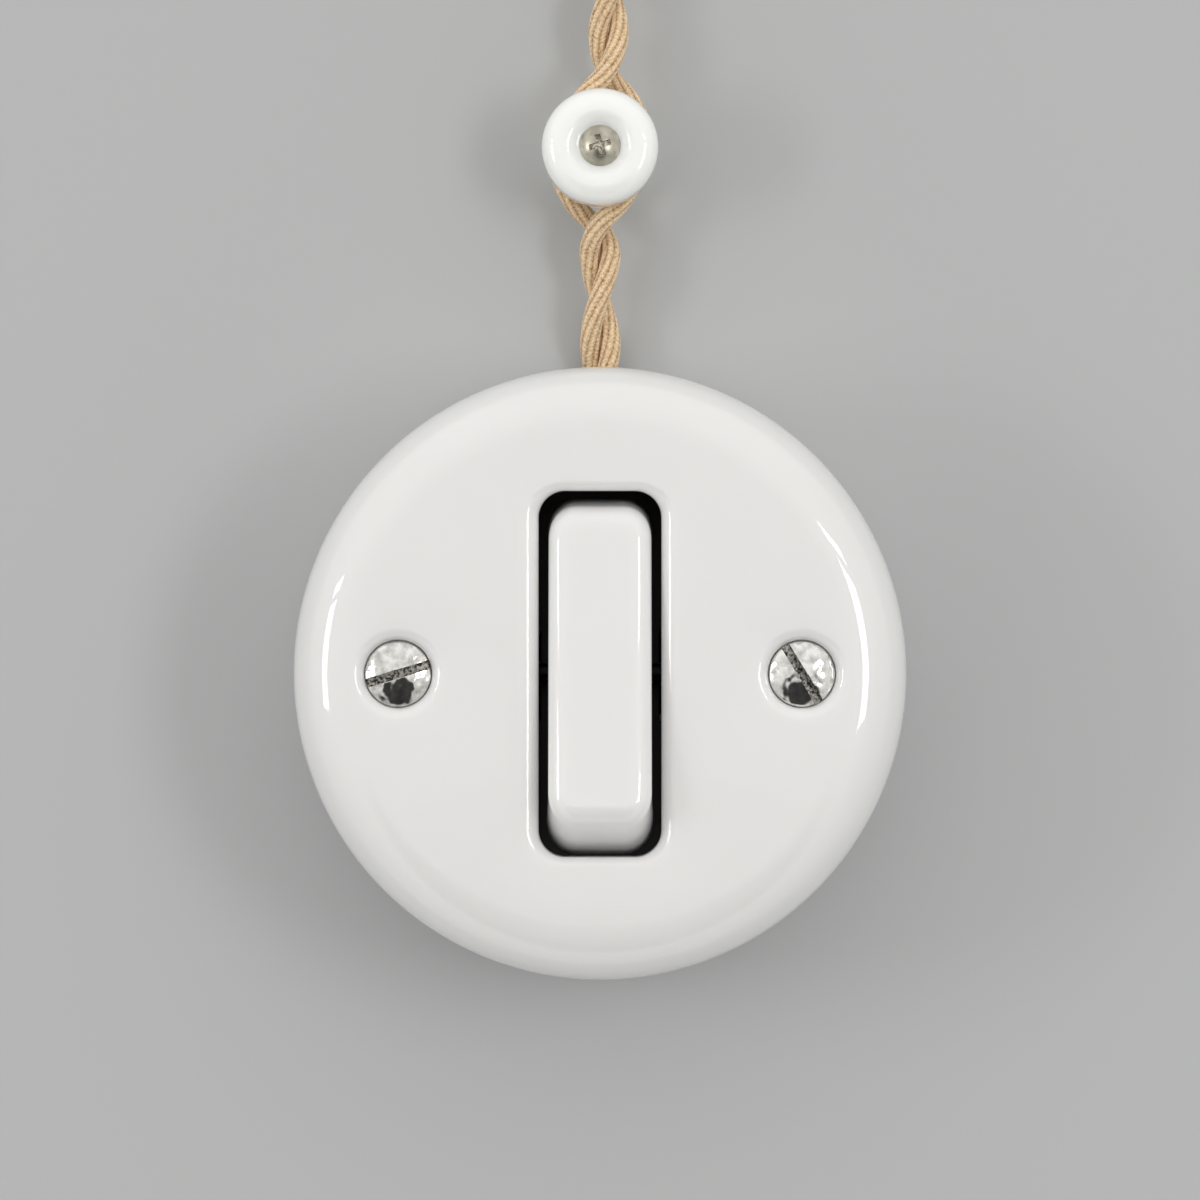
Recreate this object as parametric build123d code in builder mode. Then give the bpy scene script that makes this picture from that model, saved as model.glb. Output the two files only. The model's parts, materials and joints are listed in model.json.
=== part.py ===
"""Surface-mounted porcelain rocker switch, with its twisted flex and the insulator above it.

The wall is the plane y = 0 and the switch faces -Y, with +Z up and +X to the right.
The origin is the centre of the base's back face, so a depth is a distance from the wall.
Each moving piece stands as it does with the rocker's top end pressed in.
"""

import os
from math import cos, pi, radians, sin, tan

from build123d import *

os.makedirs("parts", exist_ok=True)

# Cover
cover_diameter = 78.0
cover_draft = 1.5
cover_wall = 4.0
cover_inner_radius = 3.6
cover_wall_gap = 0.3
slot_width = 15.2
slot_length = 45.3
slot_corner = 3.3
slot_lip = 1.7

# Screws that hold the cover
screw_spacing = 50.0
screw_diameter = 4.0
screw_head_diameter = 8.2
screw_head_edge = 1.5
screw_head_height = 2.5
screw_slot_width = 1.1
screw_slot_depth = 1.3
well_diameter = 8.8
well_depth = 2.6
well_lip = 1.4
well_rim_gap = 0.3
boss_diameter = 13.0
boss_height = 6.0
clearance_hole = 4.6

# Base
base_thickness = 6.0
base_clearance = 0.5
pillar_diameter = 10.0
insert_diameter = 6.0
insert_length = 10.0
fixing_circle = cover_diameter - 24.0
fixing_hole = 4.6
fixing_recess = 9.0
fixing_recess_depth = 2.0

# Cord entry, through the cover's edge and the base
entry_width = 7.4
entry_height = 7.4
entry_housing_gap = 2.0

# Rocker key, which fills the slot but for a gap
rocker_tilt = 8.0
key_side_gap = 1.25
key_end_gap = 4.1
rocker_width = slot_width - 2 * key_side_gap
rocker_face_length = slot_length - 2 * key_end_gap
rocker_face_height = 9.5
rocker_skirt_depth = 3.2
rocker_end_draft = 17.0
rocker_side_draft = 1.0
rocker_corner = 3.4
rocker_edge = 2.3
rocker_wall = 2.1

# Rocker carrier, whose flange is a little larger than the slot, and its axle
axle_diameter = 2.5
axle_clearance = 0.05
rocker_bore = 3.4
flange_thickness = 2.2
flange_width = slot_width + 3.6
flange_length = slot_length + 3.1
flange_corner = 4.0
plug_clearance = 0.25
plug_end_gap = 2.0
plug_height = 5.5
tower_diameter = 7.0

# Plunger and its spring
plunger_diameter = 3.0
plunger_clearance = 0.08
plunger_blade_gap = 0.1
plunger_stick_out = 4.0
bore_top = 2.2
spring_length = 3.8
spring_wire = 0.3
spring_turns = 6

# Mechanism housing
housing_width = 22.0
housing_length = 50.0
housing_corner = 3.0
housing_wall = 2.0
housing_floor = 2.5
housing_rim = 0.6
cheek_thickness = 2.5
cheek_width = 9.0
cheek_gap = 15.8
cheek_clearance = 0.7
cheek_round = 3.5
shelf_length = 8.0

# Contact blade, a see-saw on the common terminal's ridge
blade_rise = 3.2
blade_tilt = 5.0
blade_width = 6.0
blade_thickness = 1.0
blade_underside = 0.6
contact_clearance = 2.0
rivet_diameter = 3.0
rivet_height = 0.8
rivet_shank = 1.6
rivet_back_diameter = 2.4
rivet_back_height = 0.3
contact_gap = 0.25
ridge_radius = 0.5
ridge_foot = 2.6
ear_thickness = 0.8
ear_clearance = 0.2
ear_rise = 1.3

# Terminals
strip_thickness = 1.0
strip_width = 5.0
tip_diameter = 3.4
terminal_size = 6.6
terminal_height = 6.5
terminal_end_gap = 0.7
common_gap = 0.9
conductor_hole = 2.8
conductor_height = 3.1
clamp_diameter = 2.5
clamp_head_diameter = 4.8
clamp_head_height = 1.9
clamp_slot = 0.8
thread_clearance = 0.05

# Screws that hold the mechanism on the base
housing_screw_z = 7.6
housing_screw_diameter = 3.0
housing_screw_head = 5.2
housing_screw_side_gap = 0.3
housing_screw_head_height = 1.8
housing_screw_reach = 4.5

# Flex, and the conductors that it ends in
flex_diameter = 5.2
strand_diameter = 2.6
core_diameter = 2.2
flex_depth = 3.4
waist_depth = 7.0

# Insulator and its screw
insulator_height = 67.0
insulator_diameter = 14.9
insulator_foot = 6.6
insulator_waist = 4.0
insulator_depth = 17.0
waist_start = 4.6
waist_end = 9.4
insulator_round = 2.4
insulator_dish = 5.0
dish_depth = 1.2
dish_taper = 60.0
insulator_bore = 3.9
insulator_screw_head = 5.6
insulator_screw_rise = 1.7
insulator_screw_shank = 3.5
cross_length = 3.6
cross_width = 0.75
cross_depth = 0.9

# Depths from the wall forwards: the mechanism's parts stack up to the axle and the cover's face
key_swing = 10.1
pivot_inset = 7.0
housing_floor_depth = base_thickness + housing_floor
blade_axis_depth = housing_floor_depth + blade_rise
terminal_top = housing_floor_depth + terminal_height
clamp_top = terminal_top + clamp_head_height
housing_top = clamp_top + housing_rim
pivot_depth = clamp_top + key_swing
cover_height = pivot_depth + pivot_inset
cheek_top = cover_height - cover_wall - cheek_clearance
pillar_top = cover_height - cover_wall - boss_height

# Lengths along the plunger's bore, from the axle
plunger_reach = (
    pivot_depth - blade_axis_depth - blade_underside - blade_thickness - plunger_blade_gap
)
plunger_shoulder = bore_top + spring_length + 2 * spring_wire
plunger_length = plunger_reach - plunger_shoulder
tower_length = plunger_reach - plunger_stick_out - rocker_skirt_depth - flange_thickness

# Places to the sides
terminal_offset = housing_length / 2 - housing_wall - terminal_end_gap - terminal_size / 2
common_offset = housing_width / 2 + common_gap + terminal_size / 2
contact_offset = terminal_offset - terminal_size / 2 - contact_clearance - tip_diameter / 2
blade_length = 2 * contact_offset + rivet_diameter
housing_end = housing_length / 2
entry_inner_end = housing_end + entry_housing_gap
housing_screw_x = (
    housing_width / 2 - housing_wall - housing_screw_side_gap - housing_screw_head / 2
)

face_draft = tan(radians(cover_draft))


def front(depth):
    """A plane parallel to the wall, that far in front of it: x is right and y is up."""
    return Plane.XZ.offset(depth)


def tilted(depth, angle, offset):
    """A plane turned about X at that depth from the wall, with its top end further back."""
    normal = (0, -cos(radians(angle)), sin(radians(angle)))
    return Plane(origin=(0, -depth, 0), x_dir=(1, 0, 0), z_dir=normal).offset(offset)


def rocker_plane(offset):
    return tilted(pivot_depth, rocker_tilt, offset)


def blade_plane(offset):
    return tilted(blade_axis_depth, -blade_tilt, offset)


def cover_radius(depth):
    """The cover's outer radius at that depth from the wall."""
    return cover_diameter / 2 - depth * face_draft


def save(piece, name):
    piece.part.label = name
    export_step(piece.part, f"parts/{name}.step")


# Cover: a deep porcelain cup with a slot for the key and two screw wells. Its rim is rounded from
# just outside the wells' lips.
rim_inset = (
    cover_radius(cover_height) - (screw_spacing + well_diameter) / 2 - well_lip - well_rim_gap
)
cover_rim_radius = rim_inset / tan(radians((90 - cover_draft) / 2))
with BuildPart() as cover:
    with BuildSketch(Plane.XY):
        with BuildLine():
            outer_front = cover_radius(cover_height)
            inner_height = cover_height - cover_wall
            inner_front = cover_radius(inner_height) - cover_wall
            Polyline(
                (0, -cover_height),
                (outer_front, -cover_height),
                (cover_radius(cover_wall_gap), -cover_wall_gap),
                (cover_radius(cover_wall_gap) - cover_wall, -cover_wall_gap),
                (inner_front, -inner_height),
                (0, -inner_height),
                close=True,
            )
        make_face()
    revolve(axis=Axis.Y)
    circles = cover.edges().filter_by(GeomType.CIRCLE)
    rim = circles.filter_by(lambda e: abs(e.center().Y + cover_height) < 0.01)
    fillet(rim, cover_rim_radius)
    circles = cover.edges().filter_by(GeomType.CIRCLE)
    inner = circles.filter_by(lambda e: abs(e.center().Y + inner_height) < 0.01)
    fillet(inner, cover_inner_radius)
    with BuildSketch(front(pillar_top)):
        with GridLocations(screw_spacing, 0, 2, 1):
            Circle(boss_diameter / 2)
    extrude(amount=boss_height)
    with BuildSketch(front(inner_height - boss_height)):
        with GridLocations(screw_spacing, 0, 2, 1):
            Circle(clearance_hole / 2)
    extrude(amount=boss_height + cover_wall, mode=Mode.SUBTRACT)
    with BuildSketch(front(cover_height)):
        with GridLocations(screw_spacing, 0, 2, 1):
            Circle(well_diameter / 2)
    extrude(amount=-well_depth, mode=Mode.SUBTRACT)
    with BuildSketch(front(cover_height)):
        RectangleRounded(slot_width, slot_length, slot_corner)
    extrude(amount=-cover_wall, mode=Mode.SUBTRACT)
    face_edges = cover.faces().sort_by(Axis.Y)[0].inner_wires().edges()
    slot_edges = face_edges.filter_by(lambda e: abs(e.center().X) < slot_width)
    fillet(slot_edges, slot_lip)
    face_edges = cover.faces().sort_by(Axis.Y)[0].inner_wires().edges()
    well_edges = face_edges.filter_by(lambda e: abs(e.center().X) > slot_width)
    fillet(well_edges, well_lip)
    with BuildSketch(front(0)):
        with Locations((0, cover_diameter / 2)):
            Rectangle(entry_width, 4 * cover_wall)
    extrude(amount=entry_height - entry_width / 2, mode=Mode.SUBTRACT)
    with BuildSketch(Plane.XY.offset(cover_diameter / 2 - 2 * cover_wall)):
        with Locations((0, entry_width / 2 - entry_height)):
            Circle(entry_width / 2)
    extrude(amount=4 * cover_wall, mode=Mode.SUBTRACT)
save(cover, "cover")

# Base: a porcelain disc with two pillars that take the cover's screws.
base_radius = cover_radius(base_thickness) - cover_wall - base_clearance
with BuildPart() as base:
    with BuildSketch(front(0)):
        Circle(base_radius)
    extrude(amount=base_thickness)
    fillet(base.edges().group_by(Axis.Y)[0], 1.0)
    with BuildSketch(front(base_thickness)):
        with GridLocations(screw_spacing, 0, 2, 1):
            Circle(pillar_diameter / 2)
    extrude(amount=pillar_top - base_thickness)
    with BuildSketch(front(pillar_top)):
        with GridLocations(screw_spacing, 0, 2, 1):
            Circle(insert_diameter / 2)
    extrude(amount=-insert_length, mode=Mode.SUBTRACT)
    with BuildSketch(front(pillar_top - insert_length)):
        with GridLocations(screw_spacing, 0, 2, 1):
            Circle(clearance_hole / 2)
    extrude(amount=-insert_length / 2, mode=Mode.SUBTRACT)
    with BuildSketch(front(0)):
        with PolarLocations(fixing_circle / 2, 2, start_angle=45):
            Circle(fixing_hole / 2)
    extrude(amount=base_thickness, mode=Mode.SUBTRACT)
    with BuildSketch(front(base_thickness)):
        with PolarLocations(fixing_circle / 2, 2, start_angle=45):
            Circle(fixing_recess / 2)
    extrude(amount=-fixing_recess_depth, mode=Mode.SUBTRACT)
    with BuildSketch(front(0)):
        with Locations((0, entry_inner_end + entry_width / 2)):
            Circle(entry_width / 2)
        with Locations((0, entry_inner_end + entry_width / 2 + base_radius / 2)):
            Rectangle(entry_width, base_radius)
    extrude(amount=base_thickness, mode=Mode.SUBTRACT)
    with BuildSketch(front(base_thickness)):
        with Locations(
            (housing_screw_x, -housing_screw_z), (-housing_screw_x, housing_screw_z)
        ):
            Circle(housing_screw_diameter / 2 + thread_clearance)
    extrude(amount=-housing_screw_reach, mode=Mode.SUBTRACT)
save(base, "base")

# Threaded brass inserts in the pillars, and the domed slotted screws that hold the cover.
seat_depth = cover_height - well_depth
screw_end = pillar_top - insert_length + 1.0
for side, name, slot_angle in ((-1, "left", 17.0), (1, "right", -59.0)):
    screw_x = side * screw_spacing / 2
    with BuildPart() as insert:
        with BuildSketch(front(pillar_top)):
            with Locations((screw_x, 0)):
                Circle(insert_diameter / 2)
                Circle(screw_diameter / 2 + thread_clearance, mode=Mode.SUBTRACT)
        extrude(amount=-insert_length)
    save(insert, f"threaded_insert_{name}")
    with BuildPart() as cover_screw:
        with BuildSketch(front(screw_end)):
            with Locations((screw_x, 0)):
                Circle(screw_diameter / 2)
        extrude(amount=seat_depth - screw_end)
        with BuildSketch(Plane.XY) as head_section:
            with BuildLine():
                head_edge = (screw_x + screw_head_diameter / 2, -seat_depth - screw_head_edge)
                head_top = (screw_x, -seat_depth - screw_head_height)
                dome_rise = screw_head_height - screw_head_edge
                dome_radius = (screw_head_diameter**2 / 4 + dome_rise**2) / (2 * dome_rise)
                Line((screw_x, -seat_depth), (screw_x + screw_head_diameter / 2, -seat_depth))
                Line((screw_x + screw_head_diameter / 2, -seat_depth), head_edge)
                RadiusArc(head_edge, head_top, dome_radius)
                Line(head_top, (screw_x, -seat_depth))
            make_face()
        revolve(axis=Axis((screw_x, 0, 0), (0, 1, 0)))
        with BuildSketch(front(seat_depth + screw_head_height)):
            with Locations(Location((screw_x, 0), slot_angle)):
                Rectangle(2 * screw_head_diameter, screw_slot_width)
        extrude(amount=-screw_slot_depth, mode=Mode.SUBTRACT)
    save(cover_screw, f"cover_screw_{name}")

# Mechanism housing: a black thermoset tray with two cheeks that hold the axle.
with BuildPart() as housing:
    with BuildSketch(front(base_thickness)):
        RectangleRounded(housing_width, housing_length, housing_corner)
    extrude(amount=housing_top - base_thickness)
    with BuildSketch(front(housing_floor_depth)):
        RectangleRounded(
            housing_width - 2 * housing_wall,
            housing_length - 2 * housing_wall,
            housing_corner - housing_wall,
        )
    extrude(amount=housing_top, mode=Mode.SUBTRACT)
    with BuildSketch(front(base_thickness)):
        with Locations((-housing_width / 2 - shelf_length / 2 + 1, 0)):
            Rectangle(shelf_length + 2, cheek_width)
    extrude(amount=housing_floor)
    with BuildSketch(front(housing_floor_depth)):
        with GridLocations(cheek_gap + cheek_thickness, 0, 2, 1):
            Rectangle(cheek_thickness, cheek_width)
    extrude(amount=cheek_top - housing_floor_depth)
    cheek_corners = housing.edges().filter_by(Axis.X).group_by(Axis.Y)[0]
    fillet(cheek_corners, cheek_round)
    with BuildSketch(Plane.YZ):
        with Locations((-pivot_depth, 0)):
            Circle(axle_diameter / 2)
    extrude(amount=housing_width, both=True, mode=Mode.SUBTRACT)
    with BuildSketch(front(housing_floor_depth)):
        with Locations((-housing_width / 2, 0)):
            Rectangle(housing_width / 2, strip_width + 0.4)
    extrude(amount=strip_thickness + 0.2, mode=Mode.SUBTRACT)
    with BuildSketch(Plane.XY):
        with Locations((0, -housing_floor_depth - conductor_height)):
            Circle(conductor_hole / 2 + 0.3)
    extrude(amount=housing_length, both=True, mode=Mode.SUBTRACT)
    with BuildSketch(front(base_thickness)):
        with Locations(
            (housing_screw_x, -housing_screw_z), (-housing_screw_x, housing_screw_z)
        ):
            Circle(housing_screw_diameter / 2 + 0.2)
    extrude(amount=housing_floor, mode=Mode.SUBTRACT)
save(housing, "mechanism_housing")

with BuildPart() as housing_screws:
    with BuildSketch(front(base_thickness - housing_screw_reach + 0.5)):
        with Locations(
            (housing_screw_x, -housing_screw_z), (-housing_screw_x, housing_screw_z)
        ):
            Circle(housing_screw_diameter / 2)
    extrude(amount=housing_floor + housing_screw_reach - 0.5)
    with BuildSketch(front(housing_floor_depth)):
        with Locations(
            (housing_screw_x, -housing_screw_z), (-housing_screw_x, housing_screw_z)
        ):
            Circle(housing_screw_head / 2)
    extrude(amount=housing_screw_head_height)
    with BuildSketch(front(housing_floor_depth + housing_screw_head_height)):
        with Locations(
            (housing_screw_x, -housing_screw_z), (-housing_screw_x, housing_screw_z)
        ):
            Rectangle(2 * housing_screw_head, clamp_slot)
    extrude(amount=-clamp_slot, mode=Mode.SUBTRACT)
save(housing_screws, "housing_screws")

# Axle: a steel pin through the cheeks and the key.
with BuildPart() as axle:
    with BuildSketch(Plane.YZ):
        with Locations((-pivot_depth, 0)):
            Circle(axle_diameter / 2)
    extrude(amount=cheek_gap / 2 + cheek_thickness, both=True)
save(axle, "rocker_axle")

# Rocker: a hollow porcelain key, straight at its sides and drafted at its ends.
skirt_rise = rocker_face_height + rocker_skirt_depth
skirt_length = rocker_face_length + 2 * skirt_rise * tan(radians(rocker_end_draft))
skirt_width = rocker_width + 2 * skirt_rise * tan(radians(rocker_side_draft))
hollow_rise = skirt_rise - rocker_wall
hollow_taper = 2 * hollow_rise * tan(radians(rocker_end_draft))
with BuildPart() as rocker:
    with BuildSketch(rocker_plane(-rocker_skirt_depth)):
        RectangleRounded(skirt_width, skirt_length, rocker_corner)
    with BuildSketch(rocker_plane(rocker_face_height)):
        RectangleRounded(rocker_width, rocker_face_length, rocker_corner)
    loft(ruled=True)
    front_direction = Axis((0, 0, 0), (0, -cos(radians(rocker_tilt)), sin(radians(rocker_tilt))))
    fillet(rocker.faces().sort_by(front_direction)[-1].edges(), rocker_edge)
    with BuildSketch(rocker_plane(-rocker_skirt_depth)):
        RectangleRounded(rocker_width - 2 * rocker_wall, skirt_length - 3 * rocker_wall, 1.0)
    with BuildSketch(rocker_plane(-rocker_skirt_depth + hollow_rise)):
        RectangleRounded(
            rocker_width - 2 * rocker_wall, skirt_length - hollow_taper - 3 * rocker_wall, 1.0
        )
    loft(ruled=True, mode=Mode.SUBTRACT)
    with BuildSketch(Plane.YZ):
        with Locations((-pivot_depth, 0)):
            Circle(rocker_bore / 2)
    extrude(amount=rocker_width, both=True, mode=Mode.SUBTRACT)
save(rocker, "rocker")

# Carrier: the black moulding that turns on the axle, carries the key and closes the slot.
plug_width = rocker_width - 2 * rocker_wall - 2 * plug_clearance
plug_length = skirt_length - hollow_taper - 3 * rocker_wall - 2 * plug_end_gap
notch_width = flange_width / 2 - (cheek_gap / 2 - 0.5)
with BuildPart() as carrier:
    with BuildSketch(rocker_plane(-rocker_skirt_depth)):
        RectangleRounded(flange_width, flange_length, flange_corner)
        with GridLocations(flange_width - notch_width, 0, 2, 1):
            Rectangle(notch_width, cheek_width + 2.2, mode=Mode.SUBTRACT)
    extrude(amount=-flange_thickness)
    with BuildSketch(rocker_plane(-rocker_skirt_depth)):
        RectangleRounded(plug_width, plug_length, 0.8)
    extrude(amount=rocker_skirt_depth + plug_height)
    with BuildSketch(rocker_plane(-rocker_skirt_depth - flange_thickness)):
        Circle(tower_diameter / 2)
    extrude(amount=-tower_length)
    with BuildSketch(rocker_plane(-bore_top)):
        Circle(plunger_diameter / 2 + plunger_clearance)
    extrude(amount=-pivot_depth, mode=Mode.SUBTRACT)
    with BuildSketch(Plane.YZ):
        with Locations((-pivot_depth, 0)):
            Circle(axle_diameter / 2 + axle_clearance)
    extrude(amount=rocker_width, both=True, mode=Mode.SUBTRACT)
save(carrier, "rocker_carrier")

# Plunger and the spring behind it, in the carrier's bore.
with BuildPart() as plunger:
    with BuildSketch(rocker_plane(-plunger_shoulder)):
        Circle(plunger_diameter / 2)
    extrude(amount=plunger_diameter / 2 - plunger_length)
    with Locations(rocker_plane(plunger_diameter / 2 - plunger_reach)):
        Sphere(plunger_diameter / 2)
save(plunger, "plunger")

spring_plane = rocker_plane(-plunger_shoulder + spring_wire)
spring_radius = plunger_diameter / 2 - spring_wire
with BuildPart() as spring:
    with BuildLine() as coil:
        Helix(
            pitch=spring_length / spring_turns,
            height=spring_length,
            radius=spring_radius,
            center=spring_plane.origin,
            direction=spring_plane.z_dir,
        )
    with BuildSketch(Plane(origin=coil.line @ 0, z_dir=coil.line % 0)):
        Circle(spring_wire / 2)
    sweep(is_frenet=True)
save(spring, "plunger_spring")

# Contact blade: a brass strip that tips over the common terminal's ridge.
with BuildPart() as blade:
    with BuildSketch(blade_plane(blade_underside)):
        SlotOverall(blade_length, blade_width, rotation=90)
        with GridLocations(0, 2 * contact_offset, 1, 2):
            Circle(rivet_shank / 2, mode=Mode.SUBTRACT)
    extrude(amount=blade_thickness)
save(blade, "contact_blade")

with BuildPart() as blade_rivets:
    with BuildSketch(blade_plane(blade_underside - rivet_height)):
        with GridLocations(0, 2 * contact_offset, 1, 2):
            Circle(rivet_diameter / 2)
    extrude(amount=rivet_height)
    with BuildSketch(blade_plane(blade_underside)):
        with GridLocations(0, 2 * contact_offset, 1, 2):
            Circle(rivet_shank / 2)
    extrude(amount=blade_thickness)
    with BuildSketch(blade_plane(blade_underside + blade_thickness)):
        with GridLocations(0, 2 * contact_offset, 1, 2):
            Circle(rivet_back_diameter / 2)
    extrude(amount=rivet_back_height)
save(blade_rivets, "blade_rivets")

# Common terminal: a strip with the see-saw's ridge and ears, and a clamp block at its side.
strip_top = housing_floor_depth + strip_thickness
ear_inner = blade_width / 2 + ear_clearance
ear_outer = ear_inner + ear_thickness
with BuildPart() as common:
    with BuildSketch(front(housing_floor_depth)):
        with Locations(((ear_outer - common_offset) / 2, 0)):
            Rectangle(common_offset + ear_outer, strip_width)
    extrude(amount=strip_thickness)
    with BuildSketch(Plane.YZ):
        with BuildLine():
            foot = ridge_foot / 2
            Polyline(
                (-blade_axis_depth, -ridge_radius),
                (-strip_top, -foot),
                (-strip_top, foot),
                (-blade_axis_depth, ridge_radius),
            )
            RadiusArc(
                (-blade_axis_depth, ridge_radius), (-blade_axis_depth, -ridge_radius), ridge_radius
            )
        make_face()
    extrude(amount=ear_outer, both=True)
    with BuildSketch(Plane.YZ.offset(ear_inner), Plane.YZ.offset(-ear_outer)):
        with Locations((-(strip_top + blade_axis_depth + ear_rise) / 2, 0)):
            Rectangle(blade_axis_depth + ear_rise - strip_top, ridge_foot)
    extrude(amount=ear_thickness)
    with BuildSketch(front(housing_floor_depth)):
        with Locations((-common_offset, 0)):
            Rectangle(terminal_size, terminal_size)
    extrude(amount=terminal_height)
    with BuildSketch(Plane.XY):
        with Locations((-common_offset, -housing_floor_depth - conductor_height)):
            Circle(conductor_hole / 2)
    extrude(amount=terminal_size, both=True, mode=Mode.SUBTRACT)
    with BuildSketch(front(housing_floor_depth + terminal_height)):
        with Locations((-common_offset, 0)):
            Circle(clamp_diameter / 2 + thread_clearance)
    extrude(amount=conductor_height - terminal_height, mode=Mode.SUBTRACT)
save(common, "common_terminal")

# The two fixed terminals, and the silver contacts on them that the blade closes.
rivet_low = blade_axis_depth - contact_offset * sin(radians(blade_tilt)) - 0.2
tip_top = rivet_low - contact_gap
for side, name in ((1, "upper"), (-1, "lower")):
    with BuildPart() as terminal:
        strip_start = contact_offset - tip_diameter / 2 - 0.5
        with BuildSketch(front(housing_floor_depth)):
            with Locations((0, side * (strip_start + terminal_offset) / 2)):
                Rectangle(strip_width, terminal_offset - strip_start)
        extrude(amount=strip_thickness)
        with BuildSketch(front(housing_floor_depth)):
            with Locations((0, side * terminal_offset)):
                Rectangle(terminal_size, terminal_size)
        extrude(amount=terminal_height)
        with BuildSketch(Plane.XY.offset(side * terminal_offset)):
            with Locations((0, -housing_floor_depth - conductor_height)):
                Circle(conductor_hole / 2)
        extrude(amount=terminal_size, both=True, mode=Mode.SUBTRACT)
        with BuildSketch(front(housing_floor_depth + terminal_height)):
            with Locations((0, side * terminal_offset)):
                Circle(clamp_diameter / 2 + thread_clearance)
        extrude(amount=conductor_height - terminal_height, mode=Mode.SUBTRACT)
    save(terminal, f"{name}_terminal")
    with BuildPart() as contact_tip:
        with BuildSketch(front(strip_top)):
            with Locations((0, side * contact_offset)):
                Circle(tip_diameter / 2)
        extrude(amount=tip_top - strip_top)
        chamfer(contact_tip.edges().group_by(Axis.Y)[0], 0.2)
    save(contact_tip, f"{name}_contact_tip")

# Clamp screws of the three terminals.
clamp_places = ((-common_offset, 0), (0, terminal_offset), (0, -terminal_offset))
clamp_tip = housing_floor_depth + conductor_height + core_diameter / 2 + 0.1
with BuildPart() as clamp_screws:
    with BuildSketch(front(clamp_tip)):
        with Locations(*clamp_places):
            Circle(clamp_diameter / 2)
    extrude(amount=terminal_top - clamp_tip)
    with BuildSketch(front(terminal_top)):
        with Locations(*clamp_places):
            Circle(clamp_head_diameter / 2)
    extrude(amount=clamp_head_height)
    with BuildSketch(front(terminal_top + clamp_head_height)):
        with Locations(*clamp_places):
            Rectangle(2 * clamp_head_diameter, clamp_slot)
    extrude(amount=-clamp_slot, mode=Mode.SUBTRACT)
save(clamp_screws, "terminal_screws")


def bend_radii(points):
    """The largest radius that each corner of a route has room for, from its two runs."""
    radii = []
    for before, corner, after in zip(points, points[1:], points[2:]):
        run_in = Vector(*corner) - Vector(*before)
        run_out = Vector(*after) - Vector(*corner)
        half_turn = radians(run_in.get_angle(run_out)) / 2
        radii.append(0.45 * min(run_in.length, run_out.length) / tan(half_turn))
    return radii


def make_tube(name, diameter, points):
    """A round cord along a route of straight runs joined by tangent arcs."""
    radii = bend_radii(points)
    with BuildPart() as tube:
        with BuildLine() as route:
            FilletPolyline(*points, radius=radii)
        start_direction = route.line % 0
        with BuildSketch(Plane(origin=route.line @ 0, z_dir=start_direction)):
            Circle(diameter / 2)
        sweep()
    length = sum(edge.length for edge in route.edges())
    fullness = tube.part.volume / (pi * diameter**2 / 4 * length)
    print(name, "length", round(length, 1), "radii", [round(radius, 1) for radius in radii])
    print("volume over section times length", round(fullness, 4))
    save(tube, name)


# Flex: a twisted pair from the base up the wall, parted round the insulator's waist.
core_depth = housing_floor_depth + conductor_height
flex_start = entry_inner_end + 7.0
pair_offset = strand_diameter / 2
make_tube(
    "flex_lower",
    flex_diameter,
    [(0, -flex_depth, flex_start), (0.1, -3.5, 41.5), (-0.1, -5.6, 48.0), (0, -waist_depth, 54.5)],
)
for side, name in ((-1, "flex_bow_left"), (1, "flex_bow_right")):
    make_tube(
        name,
        strand_diameter,
        [
            (side * pair_offset, -waist_depth, 54.5),
            (side * 5.6, -waist_depth, 64.2),
            (side * 5.6, -waist_depth, 69.8),
            (side * pair_offset, -waist_depth, 79.5),
        ],
    )
make_tube("flex_upper", flex_diameter, [(0, -waist_depth, 79.5), (0.8, -6.6, 88.0), (1.1, -6.2, 97.0)])
make_tube(
    "conductor_switched",
    core_diameter,
    [
        (1.3, -flex_depth, flex_start),
        (1.3, -4.2, housing_end + 6.2),
        (0.3, -11.4, housing_end + 3.4),
        (0, -core_depth, terminal_offset),
    ],
)
make_tube(
    "conductor_line",
    core_diameter,
    [
        (-1.3, -flex_depth, flex_start),
        (-1.4, -4.4, housing_end + 6.0),
        (-2.6, -10.2, housing_end + 3.6),
        (-12.0, -11.2, housing_end + 1.6),
        (-common_offset, -11.5, 16.0),
        (-common_offset, -core_depth, 0),
    ],
)

# Insulator: a porcelain spool that holds the flex off the wall, and its screw.
with BuildPart() as insulator:
    with BuildSketch(Plane.XY.offset(insulator_height)):
        with BuildLine():
            crown = insulator_diameter / 2
            Polyline(
                (0, 0),
                (insulator_foot, 0),
                (insulator_foot, -waist_start + 1.2),
                (insulator_waist, -waist_start),
                (insulator_waist, -waist_end),
                (crown, -waist_end - 1.4),
                (crown, -insulator_depth),
                (0, -insulator_depth),
                close=True,
            )
        make_face()
    revolve(axis=Axis((0, 0, insulator_height), (0, 1, 0)))
    crown_edge = insulator.edges().filter_by(GeomType.CIRCLE).group_by(Axis.Y)[0]
    fillet(crown_edge, insulator_round)
    with BuildSketch(front(insulator_depth)):
        with Locations((0, insulator_height)):
            Circle(insulator_dish)
    extrude(amount=-dish_depth, taper=dish_taper, mode=Mode.SUBTRACT)
    with BuildSketch(front(0)):
        with Locations((0, insulator_height)):
            Circle(insulator_bore / 2)
    extrude(amount=insulator_depth, mode=Mode.SUBTRACT)
save(insulator, "insulator")

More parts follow.
